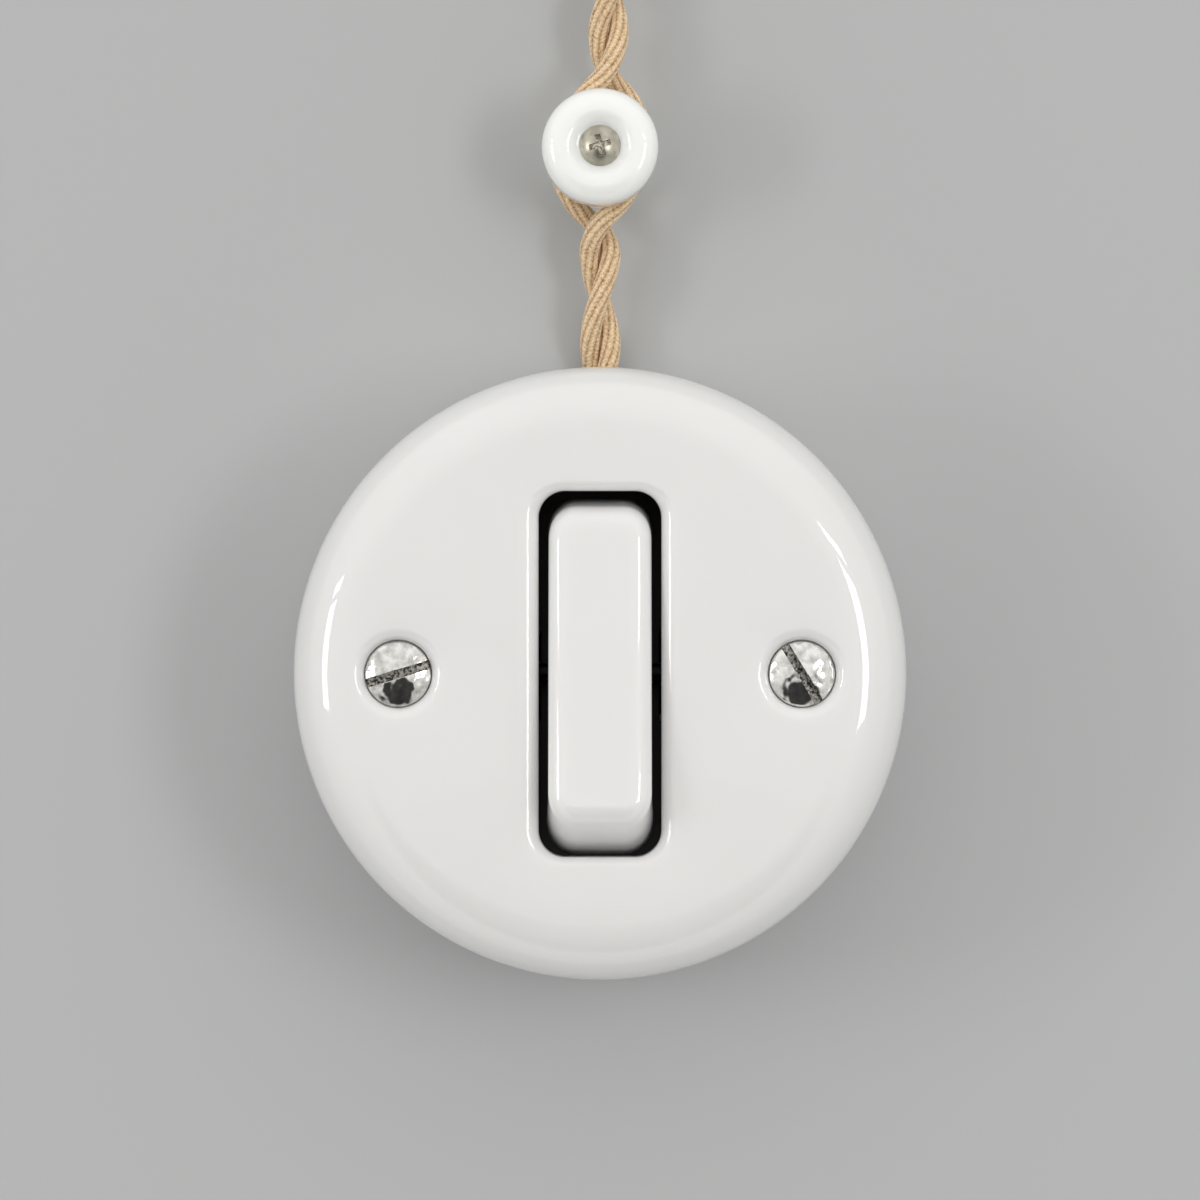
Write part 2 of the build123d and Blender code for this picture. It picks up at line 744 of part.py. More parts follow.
with BuildPart() as insulator_screw:
    dish_floor = insulator_depth - dish_depth
    with BuildSketch(front(0.2)):
        with Locations((0, insulator_height)):
            Circle(insulator_screw_shank / 2)
    extrude(amount=dish_floor - 0.2)
    with BuildSketch(Plane.XY.offset(insulator_height)):
        with BuildLine():
            rim_point = (insulator_screw_head / 2, -dish_floor - 0.3)
            top_point = (0, -dish_floor - insulator_screw_rise)
            dome = insulator_screw_rise - 0.3
            dome_radius = (insulator_screw_head**2 / 4 + dome**2) / (2 * dome)
            Line((0, -dish_floor), (insulator_screw_head / 2, -dish_floor))
            Line((insulator_screw_head / 2, -dish_floor), rim_point)
            RadiusArc(rim_point, top_point, dome_radius)
            Line(top_point, (0, -dish_floor))
        make_face()
    revolve(axis=Axis((0, 0, insulator_height), (0, 1, 0)))
    with BuildSketch(front(dish_floor + insulator_screw_rise)):
        with Locations(Location((0, insulator_height), 15)):
            Rectangle(cross_length, cross_width)
            Rectangle(cross_width, cross_length)
    extrude(amount=-cross_depth, mode=Mode.SUBTRACT)
save(insulator_screw, "insulator_screw")
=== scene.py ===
"""Dresses a surface-mounted porcelain rocker switch, its twisted flex and the flex's insulator.

Lengths are metres unless a name ends in _mm. The wall is y = 0, the switch faces -Y and +Z is up,
so the distance of a point in front of the wall is its depth, which is -y.
"""

import json
import math

import bmesh
import bpy
import numpy as np
from bpy.props import FloatProperty, FloatVectorProperty, IntProperty, PointerProperty
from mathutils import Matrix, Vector

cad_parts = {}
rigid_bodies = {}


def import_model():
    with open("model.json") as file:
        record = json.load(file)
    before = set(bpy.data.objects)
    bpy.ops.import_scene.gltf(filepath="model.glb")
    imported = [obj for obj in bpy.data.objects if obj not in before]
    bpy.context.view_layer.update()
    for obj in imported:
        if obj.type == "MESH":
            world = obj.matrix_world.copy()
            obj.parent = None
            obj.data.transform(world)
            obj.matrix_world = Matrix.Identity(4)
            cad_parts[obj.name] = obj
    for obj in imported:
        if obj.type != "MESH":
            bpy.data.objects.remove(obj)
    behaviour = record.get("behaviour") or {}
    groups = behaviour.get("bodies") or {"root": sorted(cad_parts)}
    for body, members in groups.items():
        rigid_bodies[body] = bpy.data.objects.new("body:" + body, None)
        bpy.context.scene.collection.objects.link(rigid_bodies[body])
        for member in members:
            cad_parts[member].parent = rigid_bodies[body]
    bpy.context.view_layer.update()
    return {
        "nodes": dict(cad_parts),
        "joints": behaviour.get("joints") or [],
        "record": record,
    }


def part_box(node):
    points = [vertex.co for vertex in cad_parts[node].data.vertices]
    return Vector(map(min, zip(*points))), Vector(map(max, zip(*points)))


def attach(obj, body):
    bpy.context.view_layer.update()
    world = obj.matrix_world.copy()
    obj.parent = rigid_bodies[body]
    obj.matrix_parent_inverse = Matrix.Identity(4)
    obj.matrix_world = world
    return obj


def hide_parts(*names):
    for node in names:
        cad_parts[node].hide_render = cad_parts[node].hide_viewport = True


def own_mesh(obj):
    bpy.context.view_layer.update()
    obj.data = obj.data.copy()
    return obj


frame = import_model()
JOINTS = {joint["name"]: joint for joint in frame["joints"]}
MM = 0.001

bl_info = {
    "name": "Porcelain rocker switch",
    "version": (1, 0, 0),
    "blender": (4, 5, 0),
    "location": "View3D > Sidebar > Switch",
    "description": "Builds the finished surfaces of a porcelain rocker switch on its frame",
    "category": "Object",
}


# Sizes and colours that a user would change

def srgb(code):
    """A hex sRGB colour as linear red, green and blue."""
    values = np.array([int(code[i : i + 2], 16) for i in (0, 2, 4)]) / 255
    return tuple(np.where(values < 0.04045, values / 12.92, ((values + 0.055) / 1.055) ** 2.4))


class SwitchSizes(bpy.types.PropertyGroup):
    """Sizes of the switch's visible edges."""

    rim_radius: FloatProperty(
        name="Rim radius", description="Rounding of the cover's rim",
        default=7.2 * MM, unit="LENGTH",
    )
    lip_radius: FloatProperty(
        name="Slot lip", description="Rounding of the slot's edge",
        default=1.9 * MM, unit="LENGTH",
    )
    well_lip_radius: FloatProperty(
        name="Well lip", description="Rounding of the edge of each screw well",
        default=1.58 * MM, unit="LENGTH",
    )
    key_edge_radius: FloatProperty(
        name="Key edge", description="Rounding of the key's front edges",
        default=2.3 * MM, unit="LENGTH",
    )
    strand_segments: IntProperty(
        name="Strand segments", description="Sides of each strand of the flex",
        default=80, min=16,
    )


class SwitchColours(bpy.types.PropertyGroup):
    """Colours of the switch's finishes."""

    glaze: FloatVectorProperty(
        name="Glaze", description="Glazed porcelain of the cover and key",
        default=srgb("E4E3E2"), subtype="COLOR",
    )
    insulator_glaze: FloatVectorProperty(
        name="Insulator glaze", description="Whiter glaze of the insulator",
        default=srgb("F3F3F0"), subtype="COLOR",
    )
    flex: FloatVectorProperty(
        name="Flex", description="Yarn of the braided flex",
        default=srgb("F6DAB3"), subtype="COLOR",
    )
    wall: FloatVectorProperty(
        name="Wall", description="The plain pale wall behind the switch",
        default=srgb("B4B5B5"), subtype="COLOR",
    )


def sizes():
    return bpy.context.scene.switch_sizes


def colours():
    return bpy.context.scene.switch_colours


# Surfaces worked out as arrays

def grid_faces(rows, columns, closed):
    """Quads between neighbouring rows of points, and round to the first column when closed."""
    row, column = np.meshgrid(
        np.arange(rows - 1), np.arange(columns if closed else columns - 1), indexing="ij"
    )
    after = (column + 1) % columns
    quads = [row * columns + column, row * columns + after]
    quads += [(row + 1) * columns + after, (row + 1) * columns + column]
    return np.stack(quads, axis=-1).reshape(-1, 4)


def lathe(profile, centre_x, centre_z, columns):
    """Each profile point (radius, depth) swept round a line along Y: x = r cos a, z = r sin a."""
    radius, depth = np.asarray(profile).T
    angle = np.linspace(0, 2 * np.pi, columns, endpoint=False)
    x = centre_x + radius[:, None] * np.cos(angle)
    z = centre_z + radius[:, None] * np.sin(angle)
    y = -np.broadcast_to(depth[:, None], x.shape)
    return np.stack([x, y, z], axis=-1)


def rounded_profile(corners, radii, steps=10):
    """A polyline whose corners are arcs tangent to both sides, each of its own radius."""
    corners = np.asarray(corners, float)
    points = [corners[:1]]
    for before, corner, after, radius in zip(corners, corners[1:], corners[2:], radii):
        into = (before - corner) / np.linalg.norm(before - corner)
        out = (after - corner) / np.linalg.norm(after - corner)
        half = np.arccos(np.clip(into @ out, -1, 1)) / 2
        if radius <= 0:
            points.append(corner[None])
            continue
        middle = (into + out) / np.linalg.norm(into + out)
        centre = corner + middle * radius / np.sin(half)
        start = corner + into * radius / np.tan(half) - centre
        end = corner + out * radius / np.tan(half) - centre
        part = np.linspace(0, 1, steps + 1)[:, None]
        turn = np.pi - 2 * half
        arc = (np.sin((1 - part) * turn) * start + np.sin(part * turn) * end) / np.sin(turn)
        points.append(centre + arc)
    points.append(corners[-1:])
    return np.concatenate(points)


def rounded_rectangle(width, length, corner, corner_steps=14, side_steps=24):
    """Points round a rectangle with round corners, with the outward direction at each."""
    quarter = np.linspace(0, np.pi / 2, corner_steps + 1)
    outline, outward = [], []
    signs = ((1, 1), (-1, 1), (-1, -1), (1, -1))
    for turn, (side_x, side_z) in enumerate(signs):
        angle = quarter + turn * np.pi / 2
        direction = np.stack([np.cos(angle), np.sin(angle)], axis=-1)
        centre = np.array([side_x * (width / 2 - corner), side_z * (length / 2 - corner)])
        outline.append(centre + corner * direction)
        outward.append(direction)
        following = signs[(turn + 1) % 4]
        next_centre = np.array(
            [following[0] * (width / 2 - corner), following[1] * (length / 2 - corner)]
        )
        start, end = outline[-1][-1], next_centre + corner * direction[-1]
        part = np.linspace(0, 1, side_steps + 1)[1:-1, None]
        outline.append(start + (end - start) * part)
        outward.append(np.repeat(direction[-1:], side_steps - 1, axis=0))
    return np.concatenate(outline), np.concatenate(outward)


class Shell:
    """Collects grids of points, and makes one mesh of them."""

    def __init__(self):
        self.points, self.faces, self.count = [], [], 0

    def add(self, grid):
        """Joins the rows of a grid of points, each of which is a closed ring."""
        rows, columns = grid.shape[:2]
        self.points.append(grid.reshape(-1, 3))
        self.faces += (grid_faces(rows, columns, True) + self.count).tolist()
        self.count += rows * columns

    def cap(self, loop):
        """Closes a ring of points with one face."""
        self.points.append(loop)
        self.faces.append(list(range(self.count, self.count + len(loop))))
        self.count += len(loop)

    def mesh(self, name, flat_depths=()):
        """The merged mesh, with a flat face over the open edges at each of the given depths."""
        data = bpy.data.meshes.new(name)
        data.from_pydata(np.concatenate(self.points).tolist(), [], self.faces)
        shape = bmesh.new()
        shape.from_mesh(data)
        bmesh.ops.remove_doubles(shape, verts=shape.verts, dist=0.002 * MM)
        bmesh.ops.dissolve_degenerate(shape, edges=shape.edges, dist=0.001 * MM)
        for depth in flat_depths:
            edges = [
                edge for edge in shape.edges
                if edge.is_boundary and all(abs(v.co.y + depth) < 0.01 * MM for v in edge.verts)
            ]
            bmesh.ops.triangle_fill(shape, use_beauty=True, use_dissolve=False, edges=edges)
        bmesh.ops.recalc_face_normals(shape, faces=shape.faces)
        shape.to_mesh(data)
        shape.free()
        data.shade_smooth()
        return data


def add_piece(name, data, body, material, nodes=()):
    """Links a mesh as a piece that rides on a body, and replaces the CAD nodes that it stands for."""
    piece = bpy.data.objects.new(name, data)
    bpy.context.scene.collection.objects.link(piece)
    data.materials.clear()
    data.materials.append(material)
    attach(piece, body)
    if nodes:
        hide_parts(*nodes)
    return piece


def finished_mesh(piece):
    """The mesh of a piece with its modifiers applied."""
    graph = bpy.context.evaluated_depsgraph_get()
    data = bpy.data.meshes.new_from_object(piece.evaluated_get(graph))
    piece.modifiers.clear()
    return data


def cut(data, tools):
    """A mesh with each closed tool mesh cut out of it."""
    piece = bpy.data.objects.new("work", data)
    bpy.context.scene.collection.objects.link(piece)
    for tool_data in tools:
        tool = bpy.data.objects.new("tool", tool_data)
        bpy.context.scene.collection.objects.link(tool)
        modifier = piece.modifiers.new("cut", "BOOLEAN")
        modifier.operation, modifier.solver, modifier.object = "DIFFERENCE", "EXACT", tool
    result = finished_mesh(piece)
    for work in [o for o in bpy.context.scene.objects if o.name.startswith(("work", "tool"))]:
        bpy.data.objects.remove(work)
    return result


def soften(data, radius, segments=3):
    """A mesh whose edges sharper than 35 degrees are rounded, with smooth shading over the rest."""
    shape = bmesh.new()
    shape.from_mesh(data)
    bmesh.ops.remove_doubles(shape, verts=shape.verts, dist=0.002 * MM)
    sharp = [
        edge for edge in shape.edges
        if len(edge.link_faces) == 2 and edge.calc_face_angle() > math.radians(35)
    ]
    bmesh.ops.bevel(
        shape, geom=sharp, offset=radius, segments=segments, profile=0.5, affect="EDGES",
        clamp_overlap=True,
    )
    shape.to_mesh(data)
    shape.free()
    data.shade_smooth()
    data.set_sharp_from_angle(angle=math.radians(30))
    return data


def prism(outline, direction):
    """A closed prism: an outline of points carried along a direction."""
    outline, direction = np.asarray(outline, float), np.asarray(direction, float)
    shell = Shell()
    shell.add(np.stack([outline, outline + direction]))
    shell.cap(outline)
    shell.cap((outline + direction)[::-1])
    return shell.mesh("prism")


# Materials

def add_node(tree, kind, links=(), **settings):
    """Adds a node, sets its values and links its sockets.

    Each link is a (socket, source) pair, whose source is another node's output or a plain value.
    """
    node = tree.nodes.new("ShaderNode" + kind)
    for name, value in settings.items():
        if name in node.inputs:
            node.inputs[name].default_value = value
        else:
            setattr(node, name, value)
    for socket, source in links:
        if isinstance(source, bpy.types.NodeSocket):
            tree.links.new(source, node.inputs[socket])
        else:
            node.inputs[socket].default_value = source
    return node


def start_material(name):
    """A new material; returns it, its tree, its shader and the coordinates that it may read."""
    material = bpy.data.materials.new(name)
    material.use_nodes = True
    tree = material.node_tree
    shader = tree.nodes["Principled BSDF"]
    return material, tree, shader, add_node(tree, "TexCoord").outputs


def glazed_porcelain(name, colour):
    """Fired porcelain under a clear glaze: warm white, glossy, with a faint wave in the glaze.

    The glaze pools unevenly, so highlights wander a little, and the body shows faint clouds. Light
    spreads a few millimetres inside it, which softens its shaded sides.
    """
    cloud_mm, wave_mm, ripple_mm = 14, 7, 1.5
    wave_height, ripple_height = 0.012 * MM, 0.004 * MM
    material, tree, shader, place = start_material(name)
    cloud = add_node(
        tree, "TexNoise", [("Vector", place["Object"])], Scale=1 / (cloud_mm * MM), Detail=3.0
    )
    darker = tuple(0.97 * c for c in colour)
    tint = add_node(
        tree, "Mix", [("Factor", cloud.outputs["Fac"]), (6, (*darker, 1)), (7, (*colour, 1))],
        data_type="RGBA",
    )
    wave = add_node(
        tree, "TexNoise", [("Vector", place["Object"])],
        Scale=1 / (wave_mm * MM), Detail=1.5, Roughness=0.4,
    )
    broad = add_node(
        tree, "Bump", [("Height", wave.outputs["Fac"])], Strength=1.0, Distance=wave_height
    )
    ripple = add_node(
        tree, "TexNoise", [("Vector", place["Object"])], Scale=1 / (ripple_mm * MM), Detail=1.0,
    )
    bump = add_node(
        tree, "Bump", [("Height", ripple.outputs["Fac"]), ("Normal", broad.outputs["Normal"])],
        Strength=1.0, Distance=ripple_height,
    )
    tree.links.new(tint.outputs[2], shader.inputs["Base Color"])
    tree.links.new(bump.outputs["Normal"], shader.inputs["Normal"])
    tree.links.new(bump.outputs["Normal"], shader.inputs["Coat Normal"])
    shader.inputs["Subsurface Weight"].default_value = 0.7
    shader.inputs["Subsurface Radius"].default_value = (1.0, 0.95, 0.85)
    shader.inputs["Subsurface Scale"].default_value = 3.0 * MM
    shader.inputs["Roughness"].default_value = 0.4
    shader.inputs["Specular IOR Level"].default_value = 0.25
    shader.inputs["Coat Weight"].default_value = 1.0
    shader.inputs["Coat Roughness"].default_value = 0.03
    shader.inputs["Coat IOR"].default_value = 1.68
    return material


def grained(name, dark, pale, grain_mm, detail, roughness, specular=0.5, strength=0, height_mm=0):
    """A dull material whose colour goes from dark to pale with one grain, as its skin does."""
    material, tree, shader, place = start_material(name)
    grain = add_node(
        tree, "TexNoise", [("Vector", place["Object"])], Scale=1 / (grain_mm * MM), Detail=detail,
    )
    tint = add_node(
        tree, "Mix", data_type="RGBA",
        links=[("Factor", grain.outputs["Fac"]), (6, (*srgb(dark), 1)), (7, (*srgb(pale), 1))],
    )
    tree.links.new(tint.outputs[2], shader.inputs["Base Color"])
    if height_mm:
        bump = add_node(
            tree, "Bump", [("Height", grain.outputs["Fac"])],
            Strength=strength, Distance=height_mm * MM,
        )
        tree.links.new(bump.outputs["Normal"], shader.inputs["Normal"])
    shader.inputs["Roughness"].default_value = roughness
    shader.inputs["Specular IOR Level"].default_value = specular
    return material


def plated_metal(name, colour, roughness, mottle, scratch_mm, wave_height_mm=0.0, pits=None):
    """A plated or turned metal: its colour with faint mottling, and fine scratches in its gloss.

    A screw that has the colours of its pits holds grime in its recess, where its "grime" attribute
    is 1: there the metal is darker, dull and pitted. A worn head is also slightly uneven, by the
    wave's height, so that reflections wander over it.
    """
    material, tree, shader, place = start_material(name)
    cloud_mm, speckle_mm, wave_mm = 1.2, 0.3, 1.6
    cloud = add_node(
        tree, "TexNoise", [("Vector", place["Object"])], Scale=1 / (cloud_mm * MM), Detail=4.0,
    )
    patch = add_node(
        tree, "MapRange", [("Value", cloud.outputs["Fac"]), ("From Min", 0.35), ("From Max", 0.6)]
    )
    colour = srgb(colour)
    mottled = tuple(c * (1 - mottle) for c in colour)
    tint = add_node(
        tree, "Mix", data_type="RGBA",
        links=[("Factor", patch.outputs["Result"]), (6, (*mottled, 1)), (7, (*colour, 1))],
    )
    tree.links.new(tint.outputs[2], shader.inputs["Base Color"])
    shader.inputs["Roughness"].default_value = roughness
    if pits:
        grime = add_node(tree, "Attribute", attribute_name="grime")
        speckle = add_node(
            tree, "TexNoise", [("Vector", place["Object"])], Scale=1 / (speckle_mm * MM), Detail=3.0
        )
        pitted = add_node(tree, "ValToRGB", [("Fac", speckle.outputs["Fac"])])
        for stop, position, pit_colour in zip(pitted.color_ramp.elements, (0.4, 0.62), pits):
            stop.position, stop.color = position, (*srgb(pit_colour), 1)
        dirty = add_node(
            tree, "Mix", data_type="RGBA",
            links=[
                ("Factor", grime.outputs["Fac"]), (6, tint.outputs[2]), (7, pitted.outputs["Color"]),
            ],
        )
        tree.links.new(dirty.outputs[2], shader.inputs["Base Color"])
        gloss = add_node(
            tree, "MapRange",
            [("Value", grime.outputs["Fac"]), ("To Min", roughness), ("To Max", 0.6)],
        )
        tree.links.new(gloss.outputs["Result"], shader.inputs["Roughness"])
    scratch = add_node(
        tree, "TexNoise", [("Vector", place["Object"])], Scale=1 / (scratch_mm * MM), Detail=2.0
    )
    bump = add_node(
        tree, "Bump", [("Height", scratch.outputs["Fac"])], Strength=0.35, Distance=0.01 * MM
    )
    if wave_height_mm:
        wave = add_node(
            tree, "TexNoise", [("Vector", place["Object"])], Scale=1 / (wave_mm * MM), Detail=1.0
        )
        bump = add_node(
            tree, "Bump", [("Height", wave.outputs["Fac"]), ("Normal", bump.outputs["Normal"])],
            Strength=1.0, Distance=wave_height_mm * MM,
        )
    tree.links.new(bump.outputs["Normal"], shader.inputs["Normal"])
    shader.inputs["Metallic"].default_value = 1.0
    return material


def braided_yarn(colour):
    """Cotton braid: soft dull yarns in lengthwise ribs, each crossed by fine slanting stitches.

    The strand's own UV map holds the rib number in U, whole where two ribs meet, and the run along
    the strand in V, in millimetres. Each rib has painted light on its crest and painted shade where
    it meets the next, and its stitches, 0.6 mm apart, slant the other way to its neighbour's, as a
    plait's do.
    """
    material, tree, shader, place = start_material("braided cotton yarn")
    split = add_node(tree, "SeparateXYZ", [("Vector", place["UV"])])
    rib, run = split.outputs["X"], split.outputs["Y"]

    noises = []
    for size_mm, detail in ((0.2, 4.0), (0.45, 2.0), (2.2, 2.0), (1.0, 1.0)):
        noise = add_node(
            tree, "TexNoise", [("Vector", place["Object"])],
            Scale=1 / (size_mm * MM), Detail=detail, Roughness=0.6,
        )
        noises.append(noise.outputs["Fac"])
    fibre, speck, cloud, wander = noises

    slant = add_node(tree, "Math", [(0, rib), (1, 1.0)], operation="PINGPONG")
    stitches = slant.outputs[0]
    for source, weight in ((run, 1 / 0.6), (wander, 0.9)):
        links = [(0, source), (1, weight), (2, stitches)]
        stitches = add_node(tree, "Math", links, operation="MULTIPLY_ADD").outputs[0]
    turn = add_node(tree, "Math", [(0, stitches), (1, 2 * math.pi)], operation="MULTIPLY")
    wave = add_node(tree, "Math", [(0, turn.outputs[0])], operation="SINE")
    links = [(0, wave.outputs[0]), (1, 0.5), (2, 0.5)]
    stitch = add_node(tree, "Math", links, operation="MULTIPLY_ADD").outputs[0]
    # Painted light and shade of the ribs: pale on each crest, darker where two ribs meet
    away = add_node(tree, "Math", [(0, rib), (1, 0.5)], operation="PINGPONG")
    half = add_node(tree, "Math", [(0, away.outputs[0]), (1, 2.0)], operation="MULTIPLY")
    painted_rib_shade = add_node(tree, "Math", [(0, half.outputs[0]), (1, 0.5)], operation="POWER").outputs[0]

    shade = -1.0
    for source, weight in ((painted_rib_shade, 0.6), (stitch, 0.12), (fibre, 1.4), (speck, 0.6), (cloud, 0.4)):
        links = [(0, source), (1, weight), (2, shade)]
        shade = add_node(tree, "Math", links, operation="MULTIPLY_ADD").outputs[0]
    ramp = add_node(tree, "ValToRGB", [("Fac", shade)])
    # The ramp's dark stop is both the yarn's dark flecks and the painted shade between ribs
    stops = ((0.2, srgb("97714A")), (0.95, colour))
    for stop, (position, stop_colour) in zip(ramp.color_ramp.elements, stops):
        stop.position, stop.color = position, (*stop_colour, 1)
    tree.links.new(ramp.outputs["Color"], shader.inputs["Base Color"])
    thread = add_node(tree, "Math", [(0, stitch), (1, 0.6)], operation="MULTIPLY")
    links = [(0, fibre), (1, 0.8), (2, thread.outputs[0])]
    relief = add_node(tree, "Math", links, operation="MULTIPLY_ADD")
    bump = add_node(
        tree, "Bump", [("Height", relief.outputs[0])], Strength=0.9, Distance=0.11 * MM
    )
    tree.links.new(bump.outputs["Normal"], shader.inputs["Normal"])
    shader.inputs["Roughness"].default_value = 0.9
    shader.inputs["Specular IOR Level"].default_value = 0.15
    shader.inputs["Sheen Weight"].default_value = 0.25
    shader.inputs["Sheen Roughness"].default_value = 0.5
    return material


MATERIALS = {}


def make_materials():
    """Makes every finish; each comment says what the real one gives the eye."""
    glaze, insulator_glaze = tuple(colours().glaze), tuple(colours().insulator_glaze)
    MATERIALS.update(
        cover=glazed_porcelain("glazed porcelain", glaze),
        key=glazed_porcelain("glazed porcelain of the key", glaze),
        insulator=glazed_porcelain("glazed porcelain of the insulator", insulator_glaze),
        # Unglazed fired porcelain: matt off-white with a fine sandy grain
        bisque=grained(
            "bisque porcelain", "D2CEC4", "E4E1D9", 0.5, 6.0, 0.72, strength=0.6, height_mm=0.05
        ),
        # Compression-moulded phenolic: near black, with a satin skin and a faint grain
        thermoset=grained(
            "black thermoset", "050505", "0D0D0C", 0.4, 4.0, 0.5, 0.3, strength=0.3, height_mm=0.02
        ),
        # Extruded insulation of a core under its braid: a dull plastic skin
        core=grained("core insulation", "B9A079", "C8AE86", 2.0, 2.0, 0.55),
        # Polished plate mirrors the windows, and its old slots are dark and pitted
        nickel=plated_metal(
            "bright nickel plate", "E9E7E3", 0.12, 0.4, 0.25, 0.22, ("34312E", "BDB9B2")
        ),
        # Plate gone dull: a soft grey sheen that still shows its shape
        zinc=plated_metal(
            "dull nickel plate", "BDB8A9", 0.34, 0.3, 0.3, 0.03, ("8F8A7C", "E6E1D2")
        ),
        # Ground pins: an even cool grey
        steel=plated_metal("ground steel", "A9A9A8", 0.3, 0.1, 0.2),
        # Steel painted near black, as painted shade of the slot's gap, so that only a glint shows
        # there
        black_steel=plated_metal("steel painted near black as the gap's shade", "17171A", 0.35, 0.2, 0.2),
        # Turned and pressed brass: warm yellow, with fine tool marks
        brass=plated_metal("machined brass", "C8A456", 0.28, 0.15, 0.3),
        # Brass painted dark brown, as painted shade of the slot's gap, so that it hardly shows there
        dark_brass=plated_metal("brass painted dark as the gap's shade", "40331F", 0.5, 0.3, 0.3),
        # Freshly stripped wire: clean orange pink
        copper=plated_metal("bright copper", "C88A62", 0.3, 0.15, 0.2),
        # Contacts: the whitest of the metals, with a soft gloss
        silver=plated_metal("silver alloy", "D8D7D2", 0.25, 0.1, 0.2),
        braid=braided_yarn(tuple(colours().flex)),
    )


# Cover

def arc_steps(radius, steps=10):
    """Inset and drop of a quarter-round edge, from the face to the wall."""
    angle = np.linspace(0, np.pi / 2, steps + 1)
    return radius * (1 - np.sin(angle)), radius * (1 - np.cos(angle))


def cover_mesh():
    """The cover: two profiles swept round Y, and rings that carry its face into slot and wells.

    The sides draw in by the draft with depth. A lip is a quarter round of radius r that goes
    inwards by r (1 - sin t) and down by r (1 - cos t). The slot's lip is narrower at its ends.
    """
    low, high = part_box("cover")
    face, edge = -low.y, -high.y
    wide = (high.x - low.x) / 2
    wall, draft = 4.0 * MM, math.tan(math.radians(1.5))
    inner_face = face - wall
    screw_low, screw_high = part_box("cover_screw_left")
    screw_x = -(screw_low.x + screw_high.x) / 2

    def radius(depth):
        return wide - (depth - edge) * draft

    columns = 256
    flat_radius = 0.6 * radius(face)
    foot_round, foot_inner_round, inner_round = 0.6 * MM, 0.4 * MM, 3.6 * MM
    shell = Shell()
    outside = [
        (radius(edge) - wall / 2, edge), (radius(edge), edge), (radius(face), face),
        (flat_radius, face),
    ]
    inside = [
        (radius(edge) - wall / 2, edge), (radius(edge) - wall, edge),
        (radius(inner_face) - wall, inner_face), (flat_radius, inner_face),
    ]
    for corners, radii, steps in (
        (outside, [foot_round, sizes().rim_radius], 20),
        (inside, [foot_inner_round, inner_round], 10),
    ):
        shell.add(lathe(rounded_profile(corners, radii, steps)[:-1], 0, 0, columns))

    slot_width, slot_length, slot_corner = 15.2 * MM, 45.3 * MM, 3.3 * MM
    outline, outward = rounded_rectangle(slot_width, slot_length, slot_corner)
    offsets, drops = arc_steps(1.0)
    lip = sizes().lip_radius * (1 - 0.35 * outward[:, 1] ** 2)
    loops = outline[None] + outward[None] * (lip * offsets[:, None])[..., None]
    depths = face - lip * drops[:, None]
    loops = np.concatenate([loops, outline[None]])
    depths = np.concatenate([depths, np.full((1, len(outline)), inner_face)])
    shell.add(np.stack([loops[..., 0], -depths, loops[..., 1]], axis=-1))

    well_radius, bore = 4.17 * MM, 2.3 * MM
    boss_radius, boss_depth = 6.5 * MM, inner_face - 6 * MM
    floor = face - 2.6 * MM
    offsets, drops = arc_steps(sizes().well_lip_radius)
    well = list(zip(well_radius + offsets, face - drops))
    well += [(well_radius, floor), (bore, floor), (bore, boss_depth)]
    well += [(boss_radius, boss_depth), (boss_radius, inner_face)]
    for side in (-1, 1):
        shell.add(lathe(well, side * screw_x, 0, 96))
    data = shell.mesh("cover_shell", (face, inner_face))

    entry_width = entry_height = 7.4 * MM
    below, inwards, reach = 2 * MM, 8 * MM, 12 * MM
    angle = np.linspace(0, np.pi, 25)
    arch = np.stack([np.cos(angle), np.sin(angle)], axis=-1) * entry_width / 2
    arch_foot = entry_height - entry_width / 2
    start = radius(0) - inwards
    points = [(x, -(arch_foot + rise), start) for x, rise in arch]
    points += [(-entry_width / 2, below, start), (entry_width / 2, below, start)]
    data = cut(data, [prism(points, (0, 0, reach))])
    data.shade_smooth()
    data.set_sharp_from_angle(angle=math.radians(32))
    return data


class SWITCH_OT_cover(bpy.types.Operator):
    """Makes the round porcelain cover with its slot and screw wells"""

    bl_idname = "switch.cover"
    bl_label = "Make the cover"

    def execute(self, context):
        add_piece(
            "cover_shell", cover_mesh(), "root", MATERIALS["cover"], ["cover"]
        )
        return {"FINISHED"}


# Key

def key_tilt():
    """The key's turn from upright, which is half its travel."""
    return math.radians(JOINTS["rocker_tilt"]["range_deg"][1]) / 2


def key_points(x, z, rise):
    """Points of the key, given across it, along it and in front of its axle, at its tilt."""
    pivot = -JOINTS["rocker_tilt"]["pos_m"][1]
    turn = key_tilt()
    y = -pivot - rise * math.cos(turn) + z * math.sin(turn)
    return np.stack(
        np.broadcast_arrays(x, y, z * math.cos(turn) + rise * math.sin(turn)), axis=-1
    )


